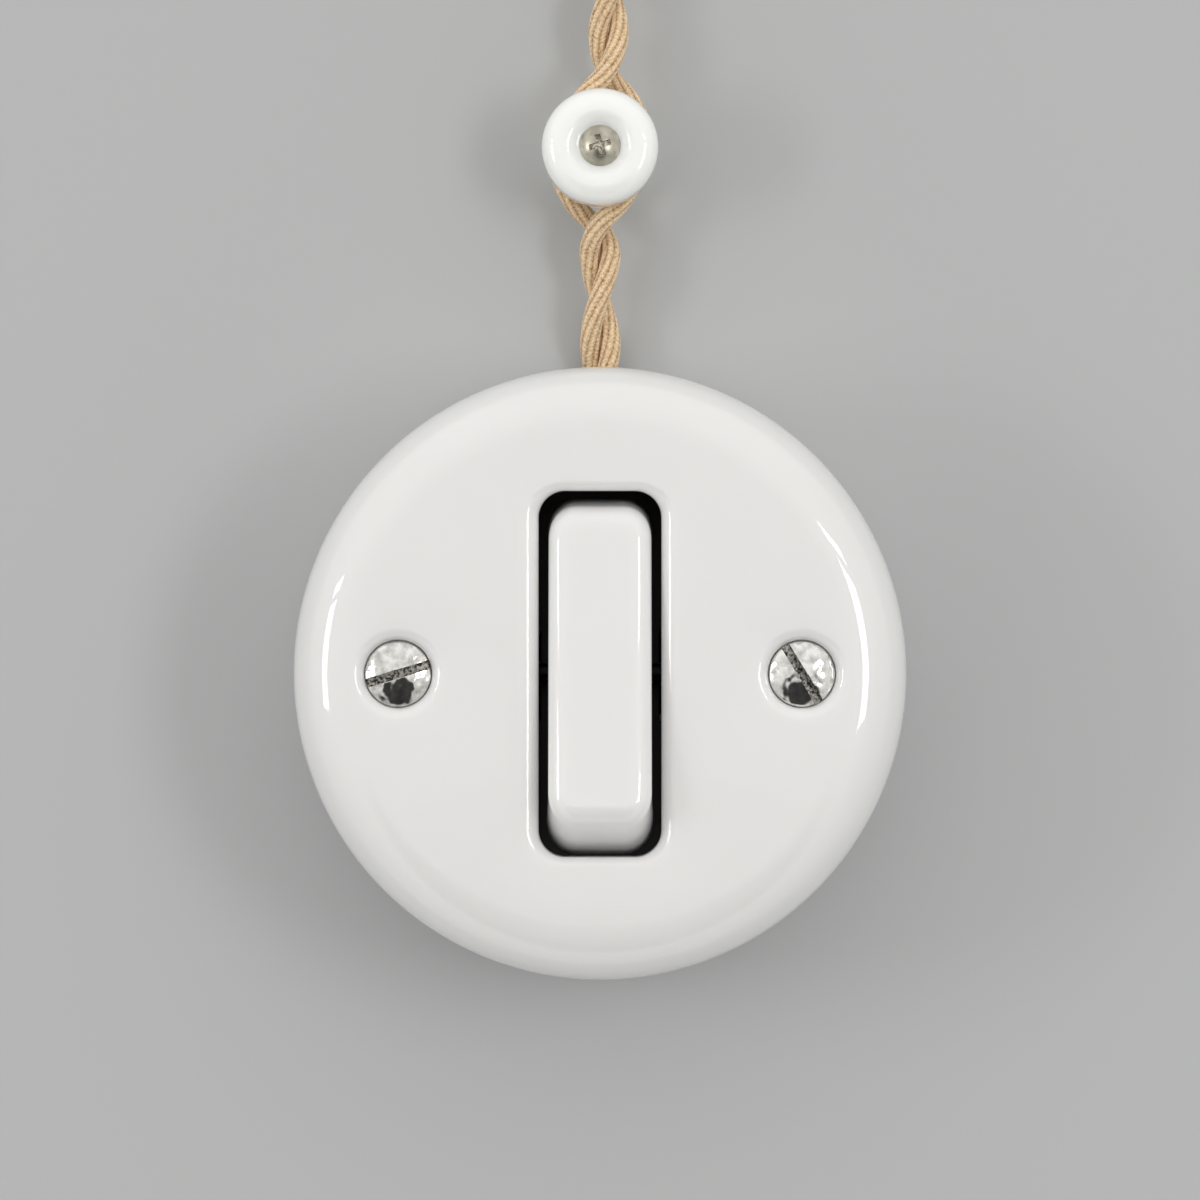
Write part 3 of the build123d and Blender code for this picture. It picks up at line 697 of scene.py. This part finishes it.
def key_mesh():
    """The key: its outline's rings, set out along the outline's outward direction as they drop.

    A ring first follows an arc of the edge's radius, and then a wall whose inset at drop d is
    d tan(draft) + 4 bulge (d / height) (1 - d / height). Radius, draft and bulge go from the
    sides' values to the ends' with the square of the outward direction's part along the key. The
    face swells by the crown times (1 - x^2)(1 - z^2), with x and z as shares of its half sizes.
    """
    face_width, face_length, corner = 12.7 * MM, 38.2 * MM, 3.4 * MM
    face_rise, skirt_rise = 9.5 * MM, -3.2 * MM
    side_draft, end_draft = 1.0, 14.8
    crown, end_bulge, wall = 0.12 * MM, 0.62 * MM, 2.1 * MM
    height = face_rise - skirt_rise
    outline, outward = rounded_rectangle(face_width, face_length, corner, 16, 30)
    endward = outward[:, 1] ** 2
    edge = sizes().key_edge_radius * (0.93 + 0.3 * endward)
    draft = np.radians(side_draft + (end_draft - side_draft) * endward)
    bulge = end_bulge * endward
    sweep = np.pi / 2 - np.arctan(np.tan(draft) + 4 * bulge / height)
    angle = np.linspace(0, 1, 13)[:, None] * sweep
    inset = edge * (np.sin(angle) - np.tan(sweep / 2))
    drop = edge * (1 - np.cos(angle))
    walls = np.linspace(0, 1, 13)[1:, None] * (height - drop[-1]) + drop[-1]
    wall_inset = walls * np.tan(draft) + 4 * bulge * (walls / height) * (1 - walls / height)
    inset = np.concatenate([inset, wall_inset])
    drop = np.concatenate([drop, walls])
    loops = outline[None] + outward[None] * inset[..., None]
    shell = Shell()
    shell.add(key_points(loops[..., 0], loops[..., 1], face_rise - drop))

    face_ring = loops[0]
    half_x = face_width / 2 - sizes().key_edge_radius
    half_z = face_length / 2 - sizes().key_edge_radius
    spine = np.stack(
        [np.zeros(len(face_ring)), np.clip(face_ring[:, 1], -half_z * 0.7, half_z * 0.7)], axis=-1
    )
    part = np.linspace(1, 0, 9)[:, None, None]
    inner = spine + (face_ring - spine) * part
    swell = crown * np.clip(1 - (inner[..., 0] / half_x) ** 2, 0, 1)
    swell = swell * np.clip(1 - (inner[..., 1] / half_z) ** 2, 0, 1)
    shell.add(key_points(inner[..., 0], inner[..., 1], face_rise + swell))

    hollow_length, hollow_corner = 38.6 * MM, 1.0 * MM
    inside, inside_out = rounded_rectangle(
        face_width - 2 * wall, hollow_length, hollow_corner, 16, 30
    )
    rises = np.array([[skirt_rise], [face_rise - wall]])
    shrink = (rises - skirt_rise) * np.tan(np.radians(end_draft)) * inside_out[:, 1] ** 2
    hollow = inside - inside_out * shrink[..., None]
    rims = np.stack([loops[-1], inside])
    shell.add(key_points(rims[..., 0], rims[..., 1], skirt_rise))
    shell.add(key_points(hollow[..., 0], hollow[..., 1], rises))
    shell.cap(key_points(hollow[-1, :, 0], hollow[-1, :, 1], rises[-1]))
    data = shell.mesh("key_shell")
    data.set_sharp_from_angle(angle=math.radians(40))
    return data


class SWITCH_OT_key(bpy.types.Operator):
    """Makes the porcelain key"""

    bl_idname = "switch.key"
    bl_label = "Make the key"

    def execute(self, context):
        add_piece("key_shell", key_mesh(), "key", MATERIALS["key"], ["rocker"])
        return {"FINISHED"}


# Plunger's spring

SPRING_TOP_RISE = -2.35 * MM
SPRING_LENGTH = 4.1 * MM


def spring_mesh():
    """A helix of round wire: x = R cos a, z = R sin a, and its rise falls evenly with the angle a."""
    coil_radius, wire_radius, turns = 1.2 * MM, 0.15 * MM, 6
    top_rise = SPRING_TOP_RISE - wire_radius
    bottom_rise = SPRING_TOP_RISE - SPRING_LENGTH + wire_radius
    angle = np.linspace(0, 2 * np.pi * turns, turns * 24 + 1)[:, None]
    outward = np.stack([np.cos(angle), np.sin(angle), 0 * angle], axis=-1)
    fall = (top_rise - bottom_rise) / (2 * np.pi * turns)
    centre = coil_radius * outward
    centre[..., 2] = top_rise - fall * angle
    along = np.stack(
        [-coil_radius * np.sin(angle), coil_radius * np.cos(angle), 0 * angle - fall], axis=-1
    )
    along /= np.linalg.norm(along, axis=-1, keepdims=True)
    across = np.cross(along, outward)
    around = np.linspace(0, 2 * np.pi, 12, endpoint=False)[None, :, None]
    wire = centre + wire_radius * (np.cos(around) * outward + np.sin(around) * across)
    grid = key_points(wire[..., 0], wire[..., 1], wire[..., 2])
    shell = Shell()
    shell.add(grid)
    shell.cap(grid[0])
    shell.cap(grid[-1][::-1])
    return shell.mesh("plunger_spring_coil")


class SWITCH_OT_spring(bpy.types.Operator):
    """Makes the spring behind the plunger"""

    bl_idname = "switch.spring"
    bl_label = "Make the spring"

    def execute(self, context):
        spring = add_piece(
            "plunger_spring_coil", spring_mesh(), "key", MATERIALS["steel"],
            ["plunger_spring"],
        )
        axis, anchor = JOINTS["plunger_slide"]["axis"], key_points(0.0, 0.0, SPRING_TOP_RISE)
        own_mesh(spring)
        return {"FINISHED"}


# Screws

def screw_sizes(node, head_height, edge_rise, steps):
    """A screw's place, depths, radius and dome, from its CAD solid.

    The dome is the cap of a sphere: at angle a from the axis its radius is R sin a and it lies
    R (1 - cos a) below the top, with R such that it meets the head's edge.
    """
    low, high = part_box(node)
    centre = np.array([(low.x + high.x) / 2, (low.z + high.z) / 2])
    top, tip = -low.y, -high.y
    radius = (high.x - low.x) / 2
    rise = head_height - edge_rise
    dome = (radius**2 + rise**2) / (2 * rise)
    angle = np.linspace(0, math.asin(radius / dome), steps)[1:]
    cap = list(zip(dome * np.sin(angle), top - dome * (1 - np.cos(angle))))
    return centre, top, tip, radius, dome, cap


def recess_tool(centre, turn, section, width):
    """A prism of the given width along a line turned from X; its section holds (run, depth)."""
    along = np.array([math.cos(turn), math.sin(turn)])
    across = np.array([-along[1], along[0]]) * width
    outline = []
    for run, depth in section:
        x, z = centre + run * along - across / 2
        outline.append((x, -depth, z))
    return prism(outline, (across[0], 0, across[1]))


def grimy(data, centre, top, dome):
    """Marks the faces of a screw's recess, which lie under its dome and inside its edge."""
    margin, edge_margin, reach = 0.12 * MM, 0.15 * MM, 1.6 * MM
    grime = np.zeros(len(data.polygons), np.float32)
    middle = np.empty(len(data.polygons) * 3)
    data.polygons.foreach_get("center", middle)
    x, y, z = middle.reshape(-1, 3).T
    away = np.hypot(x - centre[0], z - centre[1])
    dome_depth = top - dome + np.sqrt(np.maximum(dome**2 - away**2, 0))
    inside = away < away.max() - edge_margin
    grime[(dome_depth + y > margin) & (-y > top - reach) & inside] = 1
    layer = data.attributes.new("grime", "FLOAT", "FACE")
    layer.data.foreach_set("value", grime)
    return data


def slotted_screw_mesh(node, slot_angle):
    """A domed head with one straight slot, on a plain shank: a profile swept round, less a prism."""
    head_height, shank, chamfer, foot = 2.5 * MM, 2.0 * MM, 0.3 * MM, 0.15 * MM
    slot_width, slot_depth, edge_round = 1.1 * MM, 1.3 * MM, 0.13 * MM
    centre, top, tip, radius, dome, cap = screw_sizes(node, head_height, 1.5 * MM, 20)
    seat = top - head_height
    profile = [(0, tip), (shank - chamfer, tip), (shank, tip + 0.4 * MM), (shank, seat)]
    profile += [(radius - foot, seat), (radius, seat + foot)]
    shoulder = rounded_profile([profile[-1], cap[-1], cap[-5]], [0.3 * MM], 6)
    profile += [tuple(point) for point in shoulder[1:-1]] + cap[-5::-1] + [(0, top)]
    shell = Shell()
    shell.add(lathe(profile, *centre, 96))
    floor, above = top - slot_depth, top - slot_depth + 3 * MM
    section = [(-2 * radius, floor), (2 * radius, floor), (2 * radius, above), (-2 * radius, above)]
    slot = recess_tool(centre, math.radians(slot_angle), section, slot_width)
    data = cut(shell.mesh(node), [slot])
    return grimy(soften(data, edge_round), centre, top, dome)


def cross_screw_mesh(node, slot_angle):
    """A domed head with a cross recess, on a plain shank: a profile swept round, less two prisms."""
    head_height, shank, foot = 1.7 * MM, 1.75 * MM, 0.1 * MM
    arm_width, arm_depth, edge_round = 0.72 * MM, 1.0 * MM, 0.06 * MM
    centre, top, tip, radius, dome, cap = screw_sizes(node, head_height, 0.3 * MM, 16)
    seat = top - head_height
    profile = [(0, tip), (shank, tip), (shank, seat), (radius - foot, seat), *cap[::-1], (0, top)]
    shell = Shell()
    shell.add(lathe(profile, *centre, 64))
    narrow, wide, floor, above = 1.1 * MM, 2.0 * MM, top - arm_depth, top + arm_depth
    section = [(-narrow, floor), (narrow, floor), (wide, above), (-wide, above)]
    arms = [
        recess_tool(centre, math.radians(slot_angle + quarter), section, arm_width)
        for quarter in (0, 90)
    ]
    data = cut(shell.mesh(node), arms)
    return grimy(soften(data, edge_round, segments=2), centre, top, dome)


class SWITCH_OT_screws(bpy.types.Operator):
    """Makes the two cover screws and the insulator's screw"""

    bl_idname = "switch.screws"
    bl_label = "Make the screws"

    def execute(self, context):
        for node, angle in (("cover_screw_left", 17), ("cover_screw_right", -59)):
            data = slotted_screw_mesh(node, angle)
            add_piece(node + "_head", data, "root", MATERIALS["nickel"], [node])
        node = "insulator_screw"
        data = cross_screw_mesh(node, 15)
        add_piece(node + "_head", data, "root", MATERIALS["zinc"], [node])
        return {"FINISHED"}


# Insulator

def insulator_mesh():
    """The insulator: one profile with rounded corners, from foot to dished front, swept round."""
    low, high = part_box("insulator")
    crown, top = (high.x - low.x) / 2, -low.y
    foot, waist, bore = 6.6 * MM, 4.0 * MM, 1.95 * MM
    dish_floor = top - 0.75 * MM
    corners = [
        (bore, 0), (foot, 0), (foot, 3.4 * MM), (waist, 4.6 * MM), (waist, 9.4 * MM),
        (crown, 10.8 * MM), (crown, top), (4.1 * MM, top), (2.9 * MM, dish_floor),
        (bore, dish_floor), (bore, 0),
    ]
    radii_mm = [0.5, 0.9, 0.8, 0.8, 0.9, 2.35, 2.0, 1.0, 0]
    profile = rounded_profile(corners, [radius * MM for radius in radii_mm])
    shell = Shell()
    shell.add(lathe(profile, (low.x + high.x) / 2, (low.z + high.z) / 2, 160))
    return shell.mesh("insulator_spool")


class SWITCH_OT_insulator(bpy.types.Operator):
    """Makes the porcelain insulator"""

    bl_idname = "switch.insulator"
    bl_label = "Make the insulator"

    def execute(self, context):
        add_piece(
            "insulator_spool", insulator_mesh(), "root",
            MATERIALS["insulator"], ["insulator"],
        )
        return {"FINISHED"}


# Flex

ROUTE_MM = [
    (0, -3.4, 34.0), (0.1, -3.5, 41.5), (-0.1, -5.6, 48.0), (0.1, -6.6, 54.5), (-0.5, -7.0, 60.0),
    (0.1, -7.1, 67.0), (0.9, -7.0, 74.0), (1.0, -6.9, 79.5), (1.3, -6.6, 88.0), (1.4, -6.2, 97.0),
]
TWIST = [
    (34.0, 1.33), (42.3, 1.0), (48.3, 0.75), (53.9, 0.5), (57.3, 0.25), (60.5, 0.03), (67.0, 0.0),
    (73.5, -0.03), (77.6, -0.25), (82.3, -0.5), (87.5, -0.75), (93.2, -1.0), (99.0, -1.25),
]
SPREAD = [
    (34.0, 1.3), (54.0, 1.3), (57.0, 1.5), (60.0, 2.9), (64.0, 5.1), (67.0, 5.4), (70.0, 5.1),
    (74.0, 3.2), (77.0, 1.5), (80.0, 1.3), (99.0, 1.3),
]


def smooth_values(table, places):
    """A table of (place, value) pairs followed smoothly: straight runs, averaged over 3.2 mm."""
    place, value = np.array(table).T
    offsets = np.linspace(-1.6, 1.6, 9)
    return np.mean([np.interp(places + o, place, value) for o in offsets], axis=0)


def route_points(points_mm):
    """Points along the route's NURBS spline, in metres."""
    curve = bpy.data.curves.new("route", "CURVE")
    curve.dimensions = "3D"
    spline = curve.splines.new("NURBS")
    spline.points.add(len(points_mm) - 1)
    for point, place in zip(spline.points, points_mm):
        point.co = (*(c * MM for c in place), 1)
    spline.order_u = 3
    spline.use_endpoint_u = True
    spline.resolution_u = 24
    holder = bpy.data.objects.new("route", curve)
    bpy.context.scene.collection.objects.link(holder)
    data = bpy.data.meshes.new_from_object(holder)
    found = np.empty(len(data.vertices) * 3)
    data.vertices.foreach_get("co", found)
    bpy.data.objects.remove(holder)
    bpy.data.meshes.remove(data)
    return found.reshape(-1, 3)


def strand_path(side):
    """The flex's route, with the strand turned round it: x and depth go round by the twist."""
    route = route_points(ROUTE_MM)
    steps = np.linalg.norm(np.diff(route, axis=0), axis=1)
    run = np.concatenate([[0], np.cumsum(steps)])
    even = np.linspace(0, run[-1], 420)
    route = np.stack([np.interp(even, run, route[:, i]) for i in range(3)], axis=-1)
    heights = route[:, 2] / MM
    turn = 2 * np.pi * smooth_values(TWIST, heights) + (0 if side > 0 else np.pi)
    spread = smooth_values(SPREAD, heights) * MM
    route[:, 0] += spread * np.cos(turn)
    route[:, 1] -= spread * np.sin(turn)
    return route


RIBS = 8
RIB_DEPTH = 0.13 * MM
RIB_TURN_MM = 34.0


def strand_mesh(name, path, radius, segments):
    """A ribbed tube: each path point plus a circle across the path, its radius less the ribs' dips.

    The ribs are |cos| lobes round the circle, which turn once in RIB_TURN_MM along the strand.
    """
    direction = np.gradient(path, axis=0)
    direction /= np.linalg.norm(direction, axis=1)[:, None]
    side = np.cross(direction, [0.0, 1.0, 0.0])
    side /= np.linalg.norm(side, axis=1)[:, None]
    front = np.cross(side, direction)
    run = np.concatenate([[0], np.cumsum(np.linalg.norm(np.diff(path, axis=0), axis=1))]) / MM
    angle = np.linspace(0, 2 * np.pi, segments + 1)
    lobe = RIBS * (angle[None] / (2 * np.pi) + run[:, None] / RIB_TURN_MM)
    reach = radius - RIB_DEPTH * (1 - np.abs(np.cos(np.pi * lobe)) ** 0.8)
    turn = angle[None, :, None]
    ring = np.cos(turn) * side[:, None] + np.sin(turn) * front[:, None]
    grid = path[:, None] + reach[..., None] * ring
    rows, columns = grid.shape[:2]
    faces = grid_faces(rows, columns, False)
    data = bpy.data.meshes.new(name)
    data.from_pydata(grid.reshape(-1, 3).tolist(), [], faces.tolist())
    uv = np.stack([lobe + 0.5, np.broadcast_to(run[:, None], lobe.shape)], axis=-1).reshape(-1, 2)
    layer = data.uv_layers.new(name="strand")
    layer.data.foreach_set("uv", uv[faces.reshape(-1)].reshape(-1).astype(np.float32))
    shape = bmesh.new()
    shape.from_mesh(data)
    bmesh.ops.remove_doubles(shape, verts=shape.verts, dist=0.001 * MM)
    bmesh.ops.holes_fill(shape, edges=[e for e in shape.edges if e.is_boundary], sides=0)
    bmesh.ops.recalc_face_normals(shape, faces=shape.faces)
    shape.to_mesh(data)
    shape.free()
    data.shade_smooth()
    return data


def stripped_end_mesh(name, path, start_mm, end_mm, radius):
    """A round-ended wire in line with the end of a strand, from start to end past the braid."""
    direction = (path[-1] - path[-3]) / np.linalg.norm(path[-1] - path[-3])
    side = np.cross(direction, [0.0, 1.0, 0.0])
    side /= np.linalg.norm(side)
    front = np.cross(side, direction)
    corners = [(0, start_mm * MM), (radius, start_mm * MM), (radius, end_mm * MM), (0, end_mm * MM)]
    reach, along = rounded_profile(corners, [0.1 * MM, 0.3 * MM], 6).T
    angle = np.linspace(0, 2 * np.pi, 24, endpoint=False)[None, :, None]
    ring = np.cos(angle) * side + np.sin(angle) * front
    shell = Shell()
    shell.add(path[-1] + along[:, None, None] * direction + reach[:, None, None] * ring)
    return shell.mesh(name)


class SWITCH_OT_flex(bpy.types.Operator):
    """Makes the two twisted strands of the flex, with their stripped ends"""

    bl_idname = "switch.flex"
    bl_label = "Make the flex"

    def execute(self, context):
        strand = 2.66 * MM
        replaced = {
            1: ["flex_lower", "flex_bow_right"],
            -1: ["flex_upper", "flex_bow_left"],
        }
        for side, name in ((1, "strand_right"), (-1, "strand_left")):
            path = strand_path(side)
            data = strand_mesh(name, path, strand / 2, sizes().strand_segments)
            piece = add_piece(name, data, "root", MATERIALS["braid"], replaced[side])
            core = stripped_end_mesh(name + "_core", path, -1.0, 2.0, 0.85 * MM)
            core = add_piece(name + "_core", core, "root", MATERIALS["core"])
            wire = stripped_end_mesh(name + "_wire", path, 1.5, 3.8, 0.5 * MM)
            wire = add_piece(name + "_wire", wire, "root", MATERIALS["copper"])
        return {"FINISHED"}


# The pieces that stay as the frame has them

class SWITCH_OT_inner_parts(bpy.types.Operator):
    """Gives the base and the mechanism their finishes"""

    bl_idname = "switch.inner_parts"
    bl_label = "Finish the inner parts"

    def execute(self, context):
        finish_of = {
            "porcelain_base": "bisque", "thermoset": "thermoset", "zinc_screw": "zinc",
            "steel": "steel", "brass": "brass", "silver_contact": "silver",
            "core_insulation": "core", "porcelain_cover": "cover", "porcelain_rocker": "key",
            "porcelain_insulator": "insulator", "nickel_screw": "nickel", "textile_flex": "braid",
        }
        # Parts seen in the slot's gap get dark finishes: painted shade of the gap
        painted_shade_nodes = {"rocker_axle": "black_steel", "common_terminal": "dark_brass"}
        for part in frame["record"]["subparts"]:
            node = frame["nodes"][part["node"]]
            finish = painted_shade_nodes.get(part["node"], finish_of[part["material_slot"]])
            node.data.materials.clear()
            node.data.materials.append(MATERIALS[finish])
        return {"FINISHED"}


# Stage

PANE_POWER = 24.0


def wall_material():
    """Plain pale paint, clear from behind and to light that starts within 1.2 mm of it.

    So the part's back, which is that near to it, can be seen and is lit.
    """
    material, tree, shader, _ = start_material("matt wall paint")
    shader.inputs["Base Color"].default_value = (*colours().wall, 1)
    shader.inputs["Roughness"].default_value = 0.9
    clear = add_node(tree, "BsdfTransparent")
    geometry = add_node(tree, "NewGeometry")
    light = add_node(tree, "LightPath")
    near = add_node(
        tree, "Math", [(0, light.outputs["Ray Length"]), (1, 1.2 * MM)], operation="LESS_THAN"
    )
    links = [(0, geometry.outputs["Backfacing"]), (1, near.outputs[0])]
    unseen = add_node(tree, "Math", links, operation="MAXIMUM")
    mix = add_node(tree, "MixShader", [("Fac", unseen.outputs[0])])
    tree.links.new(shader.outputs[0], mix.inputs[1])
    tree.links.new(clear.outputs[0], mix.inputs[2])
    tree.links.new(mix.outputs[0], tree.nodes["Material Output"].inputs["Surface"])
    return material


def studio_world():
    """Soft light, brightest from in front and above, with a dim patch where the camera stands."""
    world = bpy.data.worlds.new("studio")
    world.use_nodes = True
    tree = world.node_tree
    place = add_node(tree, "TexCoord").outputs

    # Each is a smooth change between two strengths with the cosine of the angle from a direction
    main_light = ((-0.02, -0.42, 0.90), -0.45, 1.0, 0.76, 1.06)
    camera_patch = ((0.0, -0.84, -0.54), 0.85, 0.93, 1.0, 0.06)
    changes = []
    for number, (direction, *ends) in enumerate((main_light, camera_patch)):
        cosine = add_node(
            tree, "VectorMath", operation="DOT_PRODUCT",
            links=[(0, place["Generated"]), (1, Vector(direction).normalized())],
        )
        names = ("From Min", "From Max", "To Min", "To Max")
        change = add_node(
            tree, "MapRange", interpolation_type="SMOOTHSTEP",
            links=[("Value", cosine.outputs["Value"]), *zip(names, ends)],
        )
        changes.append((number, change.outputs["Result"]))
    both = add_node(tree, "Math", changes, operation="MULTIPLY")
    background = tree.nodes["Background"]
    background.inputs["Color"].default_value = (1.0, 1.0, 0.985, 1)
    tree.links.new(both.outputs[0], background.inputs["Strength"])
    return world


def add_lamp(name, place, target, width, height):
    """A window pane as an area lamp, whose power grows with its area."""
    lamp = bpy.data.lights.new(name, "AREA")
    lamp.shape, lamp.size, lamp.size_y = "RECTANGLE", width, height
    lamp.energy = PANE_POWER * width * height
    holder = bpy.data.objects.new(name, lamp)
    bpy.context.scene.collection.objects.link(holder)
    holder.location = place
    direction = Vector(target) - Vector(place)
    holder.rotation_euler = direction.to_track_quat("-Z", "Y").to_euler()


class SWITCH_OT_stage(bpy.types.Operator):
    """Makes the wall, the lamps and the camera"""

    bl_idname = "switch.stage"
    bl_label = "Set the stage"

    def execute(self, context):
        scene = bpy.context.scene
        half = 3.0
        signs = ((-1, -1), (1, -1), (1, 1), (-1, 1))
        corners = [(side_x * half, 0.3 * MM, side_z * half) for side_x, side_z in signs]
        data = bpy.data.meshes.new("wall")
        data.from_pydata(corners, [], [(0, 1, 2, 3)])
        data.materials.append(wall_material())
        wall = bpy.data.objects.new("wall", data)
        scene.collection.objects.link(wall)

        scene.world = studio_world()
        for name, x, y, width, low, high in (
            ("left window", -0.61, -0.49, 0.13, -0.09, 0.15),
            ("left fanlight", -0.61, -0.49, 0.13, 0.172, 0.212),
            ("right window", 0.41, -0.66, 0.15, -0.09, 0.155),
            ("right fanlight", 0.41, -0.66, 0.15, 0.195, 0.236),
        ):
            place = (x, y, (low + high) / 2)
            add_lamp(name, place, (0, 0, place[2]), width, high - low)

        camera_data = bpy.data.cameras.new("camera")
        distance, picture_width, sight_height = 0.620, 0.1568, 9.15 * MM
        camera_data.lens = camera_data.sensor_width * distance / picture_width
        camera = bpy.data.objects.new("camera", camera_data)
        scene.collection.objects.link(camera)
        camera.location = (0, -distance, sight_height)
        camera.rotation_euler = (math.pi / 2, 0, 0)
        camera_data.clip_start = 0.01
        scene.camera = camera
        scene.view_settings.view_transform = "Standard"
        return {"FINISHED"}


class SWITCH_PT_panel(bpy.types.Panel):
    """Lists the switch's operators in the sidebar"""

    bl_idname = "SWITCH_PT_panel"
    bl_label = "Porcelain switch"
    bl_space_type = "VIEW_3D"
    bl_region_type = "UI"
    bl_category = "Switch"

    def draw(self, context):
        for operator in OPERATORS:
            self.layout.operator(operator.bl_idname)


OPERATORS = (
    SWITCH_OT_inner_parts, SWITCH_OT_cover, SWITCH_OT_key, SWITCH_OT_spring, SWITCH_OT_screws,
    SWITCH_OT_insulator, SWITCH_OT_flex, SWITCH_OT_stage,
)
CLASSES = (SwitchSizes, SwitchColours, *OPERATORS, SWITCH_PT_panel)


def register():
    for item in CLASSES:
        bpy.utils.register_class(item)
    bpy.types.Scene.switch_sizes = PointerProperty(type=SwitchSizes)
    bpy.types.Scene.switch_colours = PointerProperty(type=SwitchColours)


def unregister():
    del bpy.types.Scene.switch_colours
    del bpy.types.Scene.switch_sizes
    for item in reversed(CLASSES):
        bpy.utils.unregister_class(item)


def main():
    register()
    make_materials()
    for operator in OPERATORS:
        getattr(bpy.ops.switch, operator.bl_idname.split(".")[1])()


if __name__ == "__main__":
    main()
